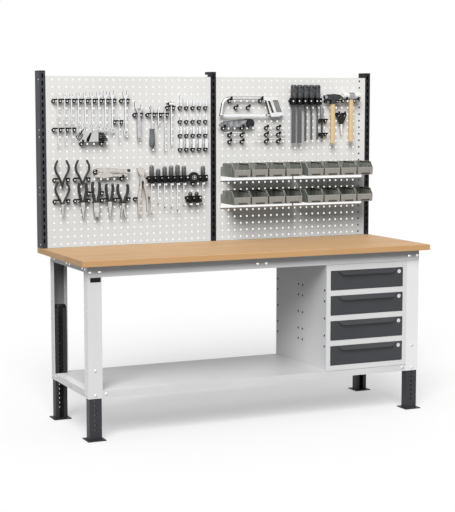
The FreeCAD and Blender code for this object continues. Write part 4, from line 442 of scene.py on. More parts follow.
# Label: a small black foil plate on the front left leg, left blank.
# It is stuck on just below the front rail.
def two_tone(name, first, second, patches, rough, sheen=(90.0, 0.1), texture=None, **sockets):
    """A moulded or printed skin in two close tones, with an uneven shine and a fine texture."""
    if texture:
        fine, depth, strength = texture
        sockets["Normal"] = lambda s: s.bump(s.noise(fine), depth, strength)
    return finish(name, Base_Color=lambda s: s.noise(patches).blend(first, second),
                  Roughness=lambda s: s.noise(sheen[0]) * sheen[1] + rough, **sockets)


foil = two_tone("black_foil", srgb(12, 12, 13), srgb(18, 18, 19), 60.0, 0.4,
                Specular_IOR_Level=0.2)
coat_node("label_plate", foil)


# Cupboard: a folded shell with a front frame of four windows, in the grey of the frame.
# Its sides have painted shade towards the top and the rear; the runners inside are galvanised
# channels.
cupboard_grey = powder_coat("cupboard_coat", grey(232), grey(227), 0.40)
coat_node("cupboard_front", cupboard_grey)
SHELL_SHADE_HEIGHT = (0.2, 0.85)
SHELL_SHADE_DEPTH = (-0.3, 0.3)


def shell_painted_shade(shade):
    along, across, up = shade.axes()
    shade_amount = up.step(*SHELL_SHADE_HEIGHT) * 0.4 + across.step(*SHELL_SHADE_DEPTH) * 0.4
    return (1.0 - shade.facing()) * shade_amount


shell_grey = powder_coat("cupboard_shell_coat", grey(232), grey(227), 0.40,
                         part=shell_painted_shade, other=grey(150))
coat_node("cupboard_shell", shell_grey)


def spangle_colour(shade):
    cells = shade.node("ShaderNodeTexVoronoi", None, {"Vector": shade.place(), "Scale": 130.0})
    return cells.step(0.0, 0.8).blend(srgb(178, 181, 184), srgb(200, 202, 204))


galvanised = finish("galvanised_sheet", Base_Color=spangle_colour, Metallic=1.0,
                    Roughness=lambda s: s.noise(80.0) * 0.15 + 0.34)
coat_node("drawer_runners", galvanised)


# Drawers: grey folded boxes behind anthracite fronts with a sloping lip to pull by.
# Each front has a round chromed lock near its right end.
box_grey = powder_coat("drawer_inside_coat", srgb(196, 197, 199), srgb(190, 191, 193), 0.48)
front_grey = powder_coat("drawer_front_coat", srgb(52, 53, 57), srgb(46, 47, 51), 0.42)
lock_chrome = worn_metal("lock_chrome", srgb(232, 232, 234), srgb(214, 215, 218), 0.14)
DRAWERS = 4
for number in range(1, DRAWERS + 1):
    coat_node("drawer_box_%d" % number, box_grey)
    coat_node("drawer_front_%d" % number, front_grey)
    coat_node("lock_plug_%d" % number, lock_chrome)


# Uprights: closed anthracite tubes with a row of slots, which carry the wall.
# They stand on the back edge of the bench, and the left one has a paler coat.
upright_coat = powder_coat("upright_coat", srgb(32, 33, 38), srgb(25, 26, 31), 0.55, gloss=0.25)
upright_pale = powder_coat("upright_coat_pale", srgb(66, 67, 72), srgb(58, 59, 64), 0.50,
                           gloss=0.25)
coat_node("upright_left", upright_pale)
coat_node("upright_middle", upright_coat)
coat_node("upright_right", upright_coat)


# Perforated panels: six folded sheets with square holes on a 38 mm pitch, near-white powder.
# They stand between the uprights, and are a little greyer lower down, a painted shade.
PANEL_SHADE_FADE = (0.95, 1.80)


def panel_painted_shade(shade):
    along, across, up = shade.axes()
    return (1.0 - up.step(*PANEL_SHADE_FADE)) * 0.75


panel_coat = powder_coat("panel_coat", srgb(248, 247, 244), srgb(244, 243, 240), 0.45, gloss=0.3,
                         part=panel_painted_shade, other=srgb(231, 230, 227))
for side in ("left", "right"):
    for level in (1, 2, 3):
        coat_node("panel_%s_%d" % (side, level), panel_coat)


# Bins: grey moulded boxes that hang by their backs on bright plated rails.
# The mould leaves faint upright ribs inside and a scuffed satin skin.
# Painted shade: a dark line along the rails' sharp edges, most seen under them.
rail_coat = worn_metal("rail_plate", grey(255), grey(250), 0.08,
                       depth=0.000005, rim=0.7, rim_width=0.002)
coat_node("bin_rails", rail_coat)

BIN_FRONT = 0.132
BIN_FRONT_SKIN = 0.004
BIN_GROUPS = (0.050, 0.506)
BIN_GROUP_GAP = 0.01
BIN_PITCH = 0.107
SHARED_WALL = 0.035
SHARED_FROM = 0.02
SHARED_SUNK = 0.0008


def bin_colour(shade):
    along, across, up = shade.axes()
    streak = shade.noise(30.0, 3.0, (6.0, 6.0, 0.6)).step(0.35, 0.7)
    scuff = shade.noise(220.0, 2.0).step(0.58, 0.72) * 0.3
    skin = streak.blend(srgb(160, 157, 149), srgb(148, 146, 138))
    skin = scuff.blend(skin, srgb(176, 174, 165))
    # Painted shade: the inside walls are darker, with upright streaks for the shade of the ribs.
    rib_streak_shade = shade.noise(26.0, 2.0, (9.0, 9.0, 0.4)).step(0.38, 0.62)
    inside = rib_streak_shade.blend(srgb(146, 149, 142), srgb(98, 101, 95))
    skin = (across > BIN_FRONT + BIN_FRONT_SKIN).blend(skin, inside)
    # The walls that two neighbours share are never lit, and are painted near black, a painted
    # shade.
    first, second = BIN_GROUPS
    group = (along > second - BIN_GROUP_GAP) * (second - first) + first
    place = (along - group) / BIN_PITCH
    near = (place - place.apply("ROUND")).apply("ABSOLUTE") < SHARED_WALL
    shared_wall_shade = near * (along > group + SHARED_FROM) * (across > BIN_FRONT + SHARED_SUNK)
    return shared_wall_shade.blend(skin, srgb(34, 32, 28))


bin_grey = finish("moulded_bin", Base_Color=bin_colour,
                  Roughness=lambda s: s.noise(60.0, 2.0) * 0.15 + 0.42,
                  Normal=lambda s: s.bump(s.noise(700.0, 1.0), 0.00008, 0.4))
coat_node("bins_upper", bin_grey)
coat_node("bins_lower", bin_grey)

BIN_TOP_HALF = 0.0525
BIN_TAPER = 0.005
BIN_HIGH = 0.074
BIN_FRONT_HIGH = 0.040
BIN_BACK = 0.285
BIN_SLOPE = 0.031
BIN_WALL = 0.002
BIN_BASES = {"bins_upper": 1.276, "bins_lower": 1.124}
BIN_CENTRES = (0.1035, 0.2105, 0.3175, 0.4245, 0.5595, 0.6665, 0.7735, 0.8805)


def blank_tree(name, **inputs):
    """A node tree that takes geometry and the named values, and gives geometry."""
    tree = bpy.data.node_groups.new(name, "GeometryNodeTree")
    new_socket = tree.interface.new_socket
    new_socket("Geometry", in_out="INPUT", socket_type="NodeSocketGeometry")
    for label, kind in inputs.items():
        new_socket(label.replace("_", " "), in_out="INPUT", socket_type="NodeSocket" + kind)
    new_socket("Geometry", in_out="OUTPUT", socket_type="NodeSocketGeometry")
    return tree


def tube_along(name, paths, radius, material, sides=8, closed=True):
    """Round beads along the given paths, made by a node tree and left as a plain mesh."""
    lines = bpy.data.meshes.new(name + "_paths")
    points = []
    edges = []
    for line in paths:
        first = len(points)
        points.extend(line)
        count = len(line)
        edges.extend((first + index, first + (index + 1) % count)
                     for index in range(count if closed else count - 1))
    lines.from_pydata(points, edges, [])
    tree = blank_tree(name + "_beads", Radius="Float", Sides="Int")
    made = tree.nodes.new
    link = tree.links.new
    source = made("NodeGroupInput")
    curve = made("GeometryNodeMeshToCurve")
    profile = made("GeometryNodeCurvePrimitiveCircle")
    skin = made("GeometryNodeCurveToMesh")
    real = made("GeometryNodeRealizeInstances")
    dress_up = made("GeometryNodeSetMaterial")
    sink = made("NodeGroupOutput")
    skin.inputs["Fill Caps"].default_value = True
    dress_up.inputs["Material"].default_value = material
    link(source.outputs["Geometry"], curve.inputs["Mesh"])
    link(source.outputs["Radius"], profile.inputs["Radius"])
    link(source.outputs["Sides"], profile.inputs["Resolution"])
    link(curve.outputs["Curve"], skin.inputs["Curve"])
    link(profile.outputs["Curve"], skin.inputs["Profile Curve"])
    link(skin.outputs["Mesh"], real.inputs["Geometry"])
    link(real.outputs["Geometry"], dress_up.inputs["Geometry"])
    link(dress_up.outputs["Geometry"], sink.inputs["Geometry"])
    return grown(placed(name, lines), tree, {"Radius": radius, "Sides": sides})


GROWN_CREASE = math.radians(35.0)


def grown(holder, tree, values):
    """Runs a node tree on the holder with its named inputs set, and keeps the plain mesh."""
    modifier = holder.modifiers.new("grow", "NODES")
    modifier.node_group = tree
    for item in tree.interface.items_tree:
        if item.in_out == "INPUT" and item.name in values:
            modifier[item.identifier] = values[item.name]
    bpy.context.view_layer.update()
    graph = bpy.context.evaluated_depsgraph_get()
    mesh = bpy.data.meshes.new_from_object(holder.evaluated_get(graph))
    holder.modifiers.remove(modifier)
    holder.data = mesh
    for polygon in mesh.polygons:
        polygon.use_smooth = True
    mesh.set_sharp_from_angle(angle=GROWN_CREASE)
    return holder


def bin_half(height):
    return BIN_TOP_HALF - BIN_TAPER * (1.0 - height / BIN_HIGH)


RIM_RADIUS = 0.0013


def rim_path(centre, base):
    inset = BIN_WALL / 2
    low = bin_half(BIN_FRONT_HIGH) - inset
    high = bin_half(BIN_HIGH) - inset
    front = BIN_FRONT + inset
    back = BIN_BACK - inset
    corners = [(-low, front, BIN_FRONT_HIGH), (low, front, BIN_FRONT_HIGH),
               (high, BIN_FRONT + BIN_SLOPE, BIN_HIGH), (high, back, BIN_HIGH),
               (-high, back, BIN_HIGH), (-high, BIN_FRONT + BIN_SLOPE, BIN_HIGH)]
    return [(centre + x, y, base + z) for x, y, z in corners]


bin_rim = two_tone("bin_rim", srgb(186, 184, 175), srgb(172, 170, 161), 90.0, 0.40, (60.0, 0.1))
# Painted shade: the sunk floors of the label pockets are dark brown, as under their lips.
pocket_floor_shade = two_tone("label_pocket_shade", srgb(70, 58, 48), srgb(44, 38, 32), 300.0, 0.60,
                       (60.0, 0.1))
LABEL_HALF = 0.029
LABEL_SHIFT = 0.002
LABEL_LOW = 0.0025
LABEL_HIGH = 0.0095
LABEL_PROUD = 0.0012
LABEL_LIP = 0.0008
LABEL_FLOOR = 0.0002
BLOCK_CREASE = math.radians(32.0)


def kept_mesh(name, shape, materials):
    """Keeps a finished bmesh as an object with its faces turned outwards."""
    bmesh.ops.recalc_face_normals(shape, faces=shape.faces)
    mesh = bpy.data.meshes.new(name)
    shape.to_mesh(mesh)
    shape.free()
    for material in materials:
        mesh.materials.append(material)
    mesh.set_sharp_from_angle(angle=BLOCK_CREASE)
    return placed(name, mesh)


def skinned(shape, rings):
    """Joins rings of four corners into a closed block, and gives back its last face."""
    for first, second in zip(rings, rings[1:]):
        for index in range(4):
            after = (index + 1) % 4
            shape.faces.new((first[index], first[after], second[after], second[index]))
    shape.faces.new(rings[0][::-1])
    return shape.faces.new(rings[-1])


def label_pocket(shape, centre, low):
    """A shallow frame that stands on the front wall, with a sunk floor for a paper label; the floor
    takes the painted shade.
    """
    def ring(inset, y):
        corners = ((-1, 0), (1, 0), (1, 1), (-1, 1))
        half = LABEL_HALF - inset
        heights = (low + inset, low + LABEL_HIGH - inset)
        return [shape.verts.new((centre + side * half, y, heights[top])) for side, top in corners]

    rings = [ring(0.0, BIN_FRONT), ring(0.0, BIN_FRONT - LABEL_PROUD),
             ring(LABEL_LIP, BIN_FRONT - LABEL_PROUD), ring(LABEL_LIP, BIN_FRONT - LABEL_FLOOR)]
    skinned(shape, rings).material_index = 1


RIB_RADIUS = 0.0009
RIB_LOW = 0.006
SIDE_RIBS = 5
SIDE_RIB_START = 0.012
SIDE_RIB_PITCH = 0.022
SIDE_RIB_TOP = BIN_HIGH - 0.004
BACK_RIBS = 3
BACK_RIB_PITCH = 0.0125
BACK_RIB_TOP = BIN_HIGH - 0.006

for node, base in BIN_BASES.items():
    rims = tube_along(node + "_rims", [rim_path(centre, base) for centre in BIN_CENTRES],
                      RIM_RADIUS, bin_rim)
    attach(rims, "frame")

    ribs = []
    for centre in BIN_CENTRES:
        for side in (-1, 1):
            for place in range(SIDE_RIBS):
                y = BIN_FRONT + BIN_SLOPE + SIDE_RIB_START + place * SIDE_RIB_PITCH
                low = bin_half(RIB_LOW) - BIN_WALL
                high = bin_half(SIDE_RIB_TOP) - BIN_WALL
                ribs.append([(centre + side * low, y, base + RIB_LOW),
                             (centre + side * high, y, base + SIDE_RIB_TOP)])
        for place in range(-BACK_RIBS, BACK_RIBS + 1):
            x = centre + place * BACK_RIB_PITCH
            y = BIN_BACK - BIN_WALL
            ribs.append([(x, y, base + RIB_LOW), (x, y, base + BACK_RIB_TOP)])
    rib_piece = tube_along(node + "_ribs", ribs, RIB_RADIUS, bin_grey, 6, False)
    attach(rib_piece, "frame")

    pocket = bmesh.new()
    for centre in BIN_CENTRES:
        label_pocket(pocket, centre + LABEL_SHIFT, base + LABEL_LOW)
    pockets = kept_mesh(node + "_label_pockets", pocket, [bin_rim, pocket_floor_shade])
    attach(pockets, "frame")


# Hooks: black moulded clips with a round base, screwed to the panel through the base.
# Each has an arm, a tip or half rings that fit the tool it carries.
hook_black = two_tone("black_moulding", srgb(9, 9, 10), srgb(17, 17, 18), 200.0, 0.50,
                      (150.0, 0.15), (900.0, 0.00005, 0.4), Specular_IOR_Level=0.2)
coat_node("tool_hooks", hook_black)


# Wall screws: bright zinc-plated pan heads with a sunk socket, in place of the plain ones.
# Those from the side hold the panels to the uprights, and those from the front the hooks.
def islands(node):
    """The boxes of a node's loose pieces, each as a lowest and a highest corner."""
    shape = bmesh.new()
    shape.from_mesh(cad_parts[node].data)
    bmesh.ops.remove_doubles(shape, verts=shape.verts, dist=WELD)
    shape.verts.ensure_lookup_table()
    left = set(range(len(shape.verts)))
    boxes = []
    while left:
        stack = [left.pop()]
        points = []
        while stack:
            vert = shape.verts[stack.pop()]
            points.append(vert.co)
            for edge in vert.link_edges:
                other = edge.other_vert(vert).index
                if other in left:
                    left.discard(other)
                    stack.append(other)
        low = Vector([min(point[axis] for point in points) for axis in range(3)])
        high = Vector([max(point[axis] for point in points) for axis in range(3)])
        boxes.append((low, high))
    shape.free()
    return sorted(boxes, key=lambda pair: tuple(round(value, 4) for value in pair[0]))


HEAD_SIDES = 18
HEAD_CHAMFER = 0.9


def screw_tree():
    """A round head with a chamfered rim and a sunk socket, set out on points by their facing."""
    tree = blank_tree("screw_heads", Head_Radius="Float", Head_Height="Float",
                      Socket_Radius="Float", Socket_Depth="Float", Material="Material")
    link = tree.links.new

    def add(kind, **values):
        made = tree.nodes.new(kind)
        for name, value in values.items():
            setattr(made, name, value)
        return made

    def feed(value, socket):
        if isinstance(value, float):
            socket.default_value = value
        else:
            link(value, socket)

    def calc(operation, first, second):
        made = add("ShaderNodeMath", operation=operation)
        feed(first, made.inputs[0])
        feed(second, made.inputs[1])
        return made.outputs[0]

    def push(shape, selection, offset, scale):
        moved = add("GeometryNodeExtrudeMesh", mode="FACES")
        moved.inputs["Individual"].default_value = False
        link(shape, moved.inputs["Mesh"])
        if selection is not None:
            link(selection, moved.inputs["Selection"])
        feed(offset, moved.inputs["Offset Scale"])
        sized = add("GeometryNodeScaleElements")
        link(moved.outputs["Mesh"], sized.inputs["Geometry"])
        link(moved.outputs["Top"], sized.inputs["Selection"])
        feed(scale, sized.inputs["Scale"])
        return sized.outputs["Geometry"], moved.outputs["Top"]

    source = add("NodeGroupInput")
    disc = add("GeometryNodeMeshCircle", fill_type="NGON")
    disc.inputs["Vertices"].default_value = HEAD_SIDES
    link(source.outputs["Head Radius"], disc.inputs["Radius"])
    height = source.outputs["Head Height"]
    shape, top = push(disc.outputs["Mesh"], None, calc("MULTIPLY", height, 0.55), 1.0)
    shape, top = push(shape, top, calc("MULTIPLY", height, 0.45), HEAD_CHAMFER)
    ratio = calc("DIVIDE", calc("DIVIDE", source.outputs["Socket Radius"],
                                source.outputs["Head Radius"]), HEAD_CHAMFER)
    shape, top = push(shape, top, 0.0, ratio)
    depth = calc("MULTIPLY", source.outputs["Socket Depth"], -1.0)
    shape, top = push(shape, top, depth, HEAD_CHAMFER)
    under = add("GeometryNodeFlipFaces")
    link(disc.outputs["Mesh"], under.inputs["Mesh"])
    both = add("GeometryNodeJoinGeometry")
    link(shape, both.inputs[0])
    link(under.outputs[0], both.inputs[0])
    welded = add("GeometryNodeMergeByDistance")
    welded.inputs["Distance"].default_value = 0.00001
    link(both.outputs[0], welded.inputs["Geometry"])
    facing = add("GeometryNodeInputNamedAttribute", data_type="FLOAT_VECTOR")
    facing.inputs["Name"].default_value = "facing"
    turn = add("FunctionNodeAlignRotationToVector", axis="Z")
    link(facing.outputs["Attribute"], turn.inputs["Vector"])
    spread = add("GeometryNodeInstanceOnPoints")
    link(source.outputs["Geometry"], spread.inputs["Points"])
    link(welded.outputs["Geometry"], spread.inputs["Instance"])
    link(turn.outputs["Rotation"], spread.inputs["Rotation"])
    real = add("GeometryNodeRealizeInstances")
    link(spread.outputs["Instances"], real.inputs["Geometry"])
    dress_up = add("GeometryNodeSetMaterial")
    link(real.outputs["Geometry"], dress_up.inputs["Geometry"])
    link(source.outputs["Material"], dress_up.inputs["Material"])
    sink = add("NodeGroupOutput")
    link(dress_up.outputs["Geometry"], sink.inputs["Geometry"])
    return tree


screw_heads = screw_tree()
bright_zinc = worn_metal("bright_zinc", grey(255), grey(250), 0.08)
HEAD_RADIUS = 0.0043
HEAD_HEIGHT = 0.0036
SOCKET_SHARE = 0.28
FRONT_SEAT = 0.0025
SIDE_SEAT = 0.0037
RIGHT_SIDE = 0.5
seats = []
facings = []
for low, high in islands("panel_screws"):
    middle = (low + high) / 2
    size = high - low
    if size.y > size.x:
        seats.append((middle.x, low.y + FRONT_SEAT, middle.z))
        facings.append((0.0, -1.0, 0.0))
    elif middle.x > RIGHT_SIDE:
        seats.append((high.x - SIDE_SEAT, middle.y, middle.z))
        facings.append((1.0, 0.0, 0.0))
    else:
        seats.append((low.x + SIDE_SEAT, middle.y, middle.z))
        facings.append((-1.0, 0.0, 0.0))


def heads_on(name, places, directions, material, radius=HEAD_RADIUS, height=HEAD_HEIGHT):
    """One head on each place, turned to its own direction, grown by the node tree."""
    dots = bpy.data.meshes.new(name + "_seats")
    dots.from_pydata(places, [], [])
    marks = dots.attributes.new("facing", "FLOAT_VECTOR", "POINT")
    for index, vector in enumerate(directions):
        marks.data[index].vector = vector
    piece = placed(name, dots)
    grown(piece, screw_heads, {"Head Radius": radius, "Head Height": height,
                               "Socket Radius": radius * SOCKET_SHARE,
                               "Socket Depth": height * SOCKET_SHARE, "Material": material})
    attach(piece, "frame")
    return piece


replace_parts(heads_on("panel_screw_heads", seats, facings, bright_zinc), "panel_screws")


# Cupboard rivets: black round heads in rows on the left side of the shell.
# They sit over the holes that the folded sheet has there.
RIVET_DEPTHS = (-0.305, -0.050, 0.0, 0.255)
RIVET_HEIGHTS = (0.383, 0.442, 0.535, 0.628, 0.687)
SHELL_LEFT = 0.385
RIVET_RADIUS = 0.0062
RIVET_PROUD = 0.0014
rivet_seats = [(SHELL_LEFT, y, z) for y in RIVET_DEPTHS for z in RIVET_HEIGHTS]
heads_on("cupboard_rivets", rivet_seats, [(-1.0, 0.0, 0.0)] * len(rivet_seats), hook_black,
         RIVET_RADIUS, RIVET_PROUD)


# Wrenches: forged steel, chrome plated and brushed, hung by their open ends.
# The adjustable one has a duller satin body.
PITCH = 0.038
LEFT_BAY = -0.929
RIGHT_BAY = 0.055
TOP_ROW = 1.809
TOOL_Y = 0.268


def column(bay, number):
    return bay + PITCH * number


def row(number):
    return TOP_ROW - PITCH * number


# The wrenches take painted shade on their flanks and along their edges.
satin_chrome = worn_metal("satin_chrome", srgb(250, 250, 251), srgb(226, 227, 230), 0.18,
                          (8.0, 8.0, 1.0), flank_shade=0.95, band=(0.45, 0.8), rim=0.75,
                          rim_width=0.0014)
dull_chrome = worn_metal("dull_chrome", srgb(206, 207, 209), srgb(178, 180, 183), 0.34,
                         flank_shade=0.9, band=(0.5, 0.9), rim=0.8, rim_width=0.002)
ADJUSTABLE_X = column(LEFT_BAY, 12.5)
ADJUSTABLE_HALF = 0.026
dressed("wrenches", [satin_chrome, dull_chrome],
        lambda at: int(abs(at.x - ADJUSTABLE_X) < ADJUSTABLE_HALF and at.z < row(4)))


# Ratchet, extensions and T-bar: chromed drive tools, hung by their heads between two hooks.
# The ratchet has a soft grey grip, and the end of the bar is blackened.
rubber_grey = two_tone("rubber_grip", srgb(96, 98, 100), srgb(120, 122, 124), 120.0, 0.48,
                       (90.0, 0.15), (600.0, 0.0001, 0.5))
black_socket = worn_metal("blackened_steel", srgb(58, 58, 60), srgb(44, 44, 46), 0.40)
RATCHET_X = column(LEFT_BAY, 14.5)
RATCHET_HALF = 0.018
RATCHET_GRIP_TOP = row(5) + 0.013 - 0.0855
BAR_X = column(LEFT_BAY, 17.5)
BAR_END = (-0.03, -0.0145)


def ratchet_finish(at):
    if abs(at.x - RATCHET_X) < RATCHET_HALF and at.z < RATCHET_GRIP_TOP:
        return 1
    if BAR_END[0] < at.x - BAR_X < BAR_END[1] and at.z > row(4):
        return 2
    return 0


dressed("ratchet_tools", [satin_chrome, rubber_grey, black_socket], ratchet_finish)


# Sockets: turned and chromed, in four rows of five.
# Each stands on the upright pin of its own hook, and the second row holds bits.
# The sockets take painted shade on their flanks and along their edges.
socket_chrome = worn_metal("socket_chrome", srgb(252, 252, 253), srgb(224, 225, 228), 0.14,
                           (1.0, 1.0, 9.0), flank_shade=0.4, band=(0.1, 0.5), rim=0.25)
coat_node("sockets", socket_chrome)


# Hexagon keys: blackened keys in a pale moulded holder with one slanting groove.
# The set rests on two hooks with turned-up tips.
pale_holder = two_tone("pale_holder", srgb(222, 222, 220), srgb(210, 210, 208), 80.0, 0.40)
HOLDER_X = column(LEFT_BAY, 4)
HOLDER_Z = row(9) + 0.013
HOLDER_HIGH = 0.048
HOLDER_FOOT = 0.016
HOLDER_LEAN = 0.028
HOLDER_RIGHT = 0.0881
GROOVE_RIGHT = 0.0865
GROOVE_DEPTHS = (0.2572, 0.262)
HOLDER_PLAY = (0.0005, 0.0002)


def holder_finish(at):
    edge = HOLDER_X - HOLDER_FOOT + HOLDER_LEAN * (at.z - HOLDER_Z) / HOLDER_HIGH
    across = edge - HOLDER_PLAY[0] < at.x < HOLDER_X + HOLDER_RIGHT
    inside = across and at.z > HOLDER_Z - HOLDER_PLAY[1]
    sunk = GROOVE_DEPTHS[0] < at.y < GROOVE_DEPTHS[1] and at.x < HOLDER_X + GROOVE_RIGHT
    return 0 if inside and not sunk else 1


key_black = worn_metal("key_black", srgb(36, 36, 38), srgb(24, 24, 26), 0.38)
dressed("hex_key_set", [pale_holder, key_black], holder_finish)


# Retaining-ring pliers: two thin dipped handles and a ground nose.
# Each handle rests in the notched arm of a hook.
dipped_black = two_tone("dipped_handle", srgb(24, 24, 26), srgb(38, 38, 40), 90.0, 0.34,
                        (80.0, 0.12), (500.0, 0.0001, 0.4))
# The ground steel takes painted shade on its flanks and along its edges.
ground_steel = worn_metal("ground_steel", srgb(222, 221, 218), srgb(186, 186, 184), 0.24,
                          flank_shade=0.85, band=(0.4, 0.85), rim=0.8, rim_width=0.002)
RING_GRIP = (-0.013, 0.112)


def ring_finish(at):
    return int(any(RING_GRIP[0] < at.z - level < RING_GRIP[1] for level in (row(14), row(17))))


dressed("circlip_pliers", [ground_steel, dipped_black], ring_finish)


# Pliers: dipped handles, flared guards and polished heads; two pairs are bare steel.
# They hang by their handles between two hooks, and the locking pliers lie across two.
PLIER_CENTRES = ((4, 17, 0.008), (6, 16, -0.034), (8, 17, 0.0085), (10, 17, -0.002))
PLIER_HALF = 0.042
PLIER_GRIP = (-0.0175, 0.115)
BARE_FROM = column(LEFT_BAY, 11.5)
LOCKING_X = (column(LEFT_BAY, 6) - 0.018, column(LEFT_BAY, 6) + 0.204)
LOCKING_LOW = row(14) - 0.002
LOCKING_SCREW = column(LEFT_BAY, 6) + 0.1785


def pliers_finish(at):
    if at.z > LOCKING_LOW and LOCKING_X[0] < at.x < LOCKING_X[1]:
        return 1 if at.x > LOCKING_SCREW else 2
    for number, level, rise in PLIER_CENTRES:
        height = at.z - row(level) - rise
        beside = abs(at.x - column(LEFT_BAY, number))
        if beside < PLIER_HALF and PLIER_GRIP[0] < height < PLIER_GRIP[1]:
            return 1
    return 0 if at.x < BARE_FROM else 2


# The bare pliers take painted shade on their flanks and along their edges.
dull_steel = worn_metal("dull_steel", srgb(216, 212, 206), srgb(186, 182, 176), 0.30,
                        flank_shade=0.92, band=(0.5, 0.9), rim=0.9, rim_width=0.0025)
dressed("pliers", [ground_steel, dipped_black, dull_steel], pliers_finish)


# Screwdrivers: moulded grey grips, black collars, plated blades with blackened tips.
# They stand in half rings that are moulded to the hooks.
GRIP_FOOT = 0.012
GRIP_DARK_FADE = 0.060
COLLAR_FOOT = 0.0295
TIP_LONG = 0.009
LOWER_DRIVERS = (column(LEFT_BAY, 19.9), column(LEFT_BAY, 21.8))


def grip_colour(shade):
    along, across, up = shade.axes()
    skin = shade.noise(70.0).blend(srgb(104, 105, 107), srgb(124, 125, 127))
    worn_and_shaded = shade.noise(160.0, 2.0, (6.0, 6.0, 0.6)).step(0.45, 0.65)
    # The grips are darker towards their lower ends.
    low = 1.0 - up.step(row(14) + GRIP_FOOT, row(14) + GRIP_DARK_FADE)
    darker = (low * 0.75).blend(skin, srgb(48, 49, 51))
    return (worn_and_shaded * 0.5).blend(darker, srgb(70, 71, 73))


grip_grey = finish("moulded_grip", Base_Color=grip_colour,
                   Roughness=lambda s: s.noise(90.0) * 0.1 + 0.22,
                   Normal=lambda s: s.bump(s.noise(500.0), 0.00008, 0.3))
driver_tips = [(low.x, high.x, low.z) for low, high in islands("screwdrivers")]


def driver_finish(at):
    level = row(17) if LOWER_DRIVERS[0] < at.x < LOWER_DRIVERS[1] else row(14)
    if at.z > level + GRIP_FOOT:
        return 0
    if at.z > level - COLLAR_FOOT:
        return 1
    tip = min(bottom for left, right, bottom in driver_tips if left <= at.x <= right)
    return 1 if at.z < tip + TIP_LONG else 2


# The blades take painted shade on their flanks.
plated_rod = worn_metal("plated_rod", grey(252), srgb(238, 239, 240), 0.16,
                        (8.0, 8.0, 1.0), flank_shade=0.6, band=(0.2, 0.6))
dressed("screwdrivers", [grip_grey, hook_black, plated_rod], driver_finish)


# Tape: a roll of black tape on a paler core.
# It hangs on a round stub, with a hook below it, and its turns show on the side.
TAPE_X = column(LEFT_BAY, 21)
TAPE_Z = row(14) - 0.001
TAPE_CORE = 0.0145
TAPE_TURNS = 1800.0


def tape_colour(shade):
    along, across, up = shade.axes()
    x = along - TAPE_X
    z = up - TAPE_Z
    distance = (x * x + z * z).apply("SQRT")
    turns = (distance * TAPE_TURNS).apply("SINE") * 0.5 + 0.5
    return turns.blend(srgb(10, 10, 11), srgb(26, 26, 27))


tape_black = finish("wound_tape", Base_Color=tape_colour,
                    Roughness=lambda s: s.noise(90.0) * 0.1 + 0.50, Specular_IOR_Level=0.25)
core_grey = two_tone("tape_core", srgb(150, 150, 148), srgb(128, 128, 126), 90.0, 0.5,
                     (50.0, 0.1))
dressed("tape_roll", [tape_black, core_grey],
        lambda at: int(math.hypot(at.x - TAPE_X, at.z - TAPE_Z) < TAPE_CORE))


# Hacksaw: bright tube bow, thin blade, cast handle with a ribbed rubber pad on the grip.
# It hangs by its bow on two hooks.
# The bow and the blade take painted shade on their flanks and along their edges.
bright_alloy = worn_metal("bright_alloy", srgb(244, 244, 245), srgb(222, 223, 225), 0.24,
                          flank_shade=0.92, band=(0.62, 0.93), rim=0.9, rim_width=0.003)
blade_steel = worn_metal("blade_steel", grey(250), srgb(232, 233, 235), 0.18,
                         (1.0, 1.0, 10.0), depth=0.00001, flank_shade=0.8, rim=0.9,
                         rim_width=0.003)
pad_green = two_tone("grip_pad", srgb(92, 94, 82), srgb(108, 110, 98), 90.0, 0.5)
SAW_LEFT = column(RIGHT_BAY, 0)
SAW_SEAT = 0.0086
SAW_BOW_RADIUS = 0.008
SAW_TOP = row(3) + SAW_SEAT + SAW_BOW_RADIUS
BLADE_DROP = 0.0845
BLADE_END = 0.2735


def saw_finish(at):
    return int(at.z < SAW_TOP - BLADE_DROP and at.x < SAW_LEFT + BLADE_END)


dressed("hacksaw", [bright_alloy, blade_steel], saw_finish)

PAD_RIBS = 11
PAD_RIB_SHARE = 0.78
PAD_TOP = (0.293, -0.011)
PAD_FOOT = (0.319, -0.080)
PAD_WIDE = 0.033
PAD_FACE = TOOL_Y - 0.011
PAD_PROUD = 0.0022
PAD_CHAMFER = 0.0008
PAD_SUNK = 0.0005


def pad_rib(shape, start, end):
    """One raised bar of the pad, across the grip between two heights, with chamfered edges."""
    def ring(inset, y):
        (x0, z0), (x1, z1) = start, end
        corners = ((x0 + inset, z0 - inset), (x0 + PAD_WIDE - inset, z0 - inset),
                   (x1 + PAD_WIDE - inset, z1 + inset), (x1 + inset, z1 + inset))
        return [shape.verts.new((SAW_LEFT + x, y, SAW_TOP + z)) for x, z in corners]

    skinned(shape, [ring(0.0, PAD_FACE + PAD_SUNK), ring(0.0, PAD_FACE - PAD_PROUD + PAD_CHAMFER),
                    ring(PAD_CHAMFER, PAD_FACE - PAD_PROUD)])


def pad_point(share):
    return (PAD_TOP[0] + (PAD_FOOT[0] - PAD_TOP[0]) * share,
            PAD_TOP[1] + (PAD_FOOT[1] - PAD_TOP[1]) * share)


pad = bmesh.new()
for number in range(PAD_RIBS):
    pad_rib(pad, pad_point(number / PAD_RIBS), pad_point((number + PAD_RIB_SHARE) / PAD_RIBS))
pad_piece = kept_mesh("hacksaw_pad", pad, [pad_green])
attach(pad_piece, "frame")


# Files, chisel and punches: dark cut files with textured grips, a chisel and ground punches.
# The files stand in moulded rings; the chisel hangs between hooks and the punches lie on theirs.
GRIP_RIDGES = 900.0
FILE_TEETH = 5200.0


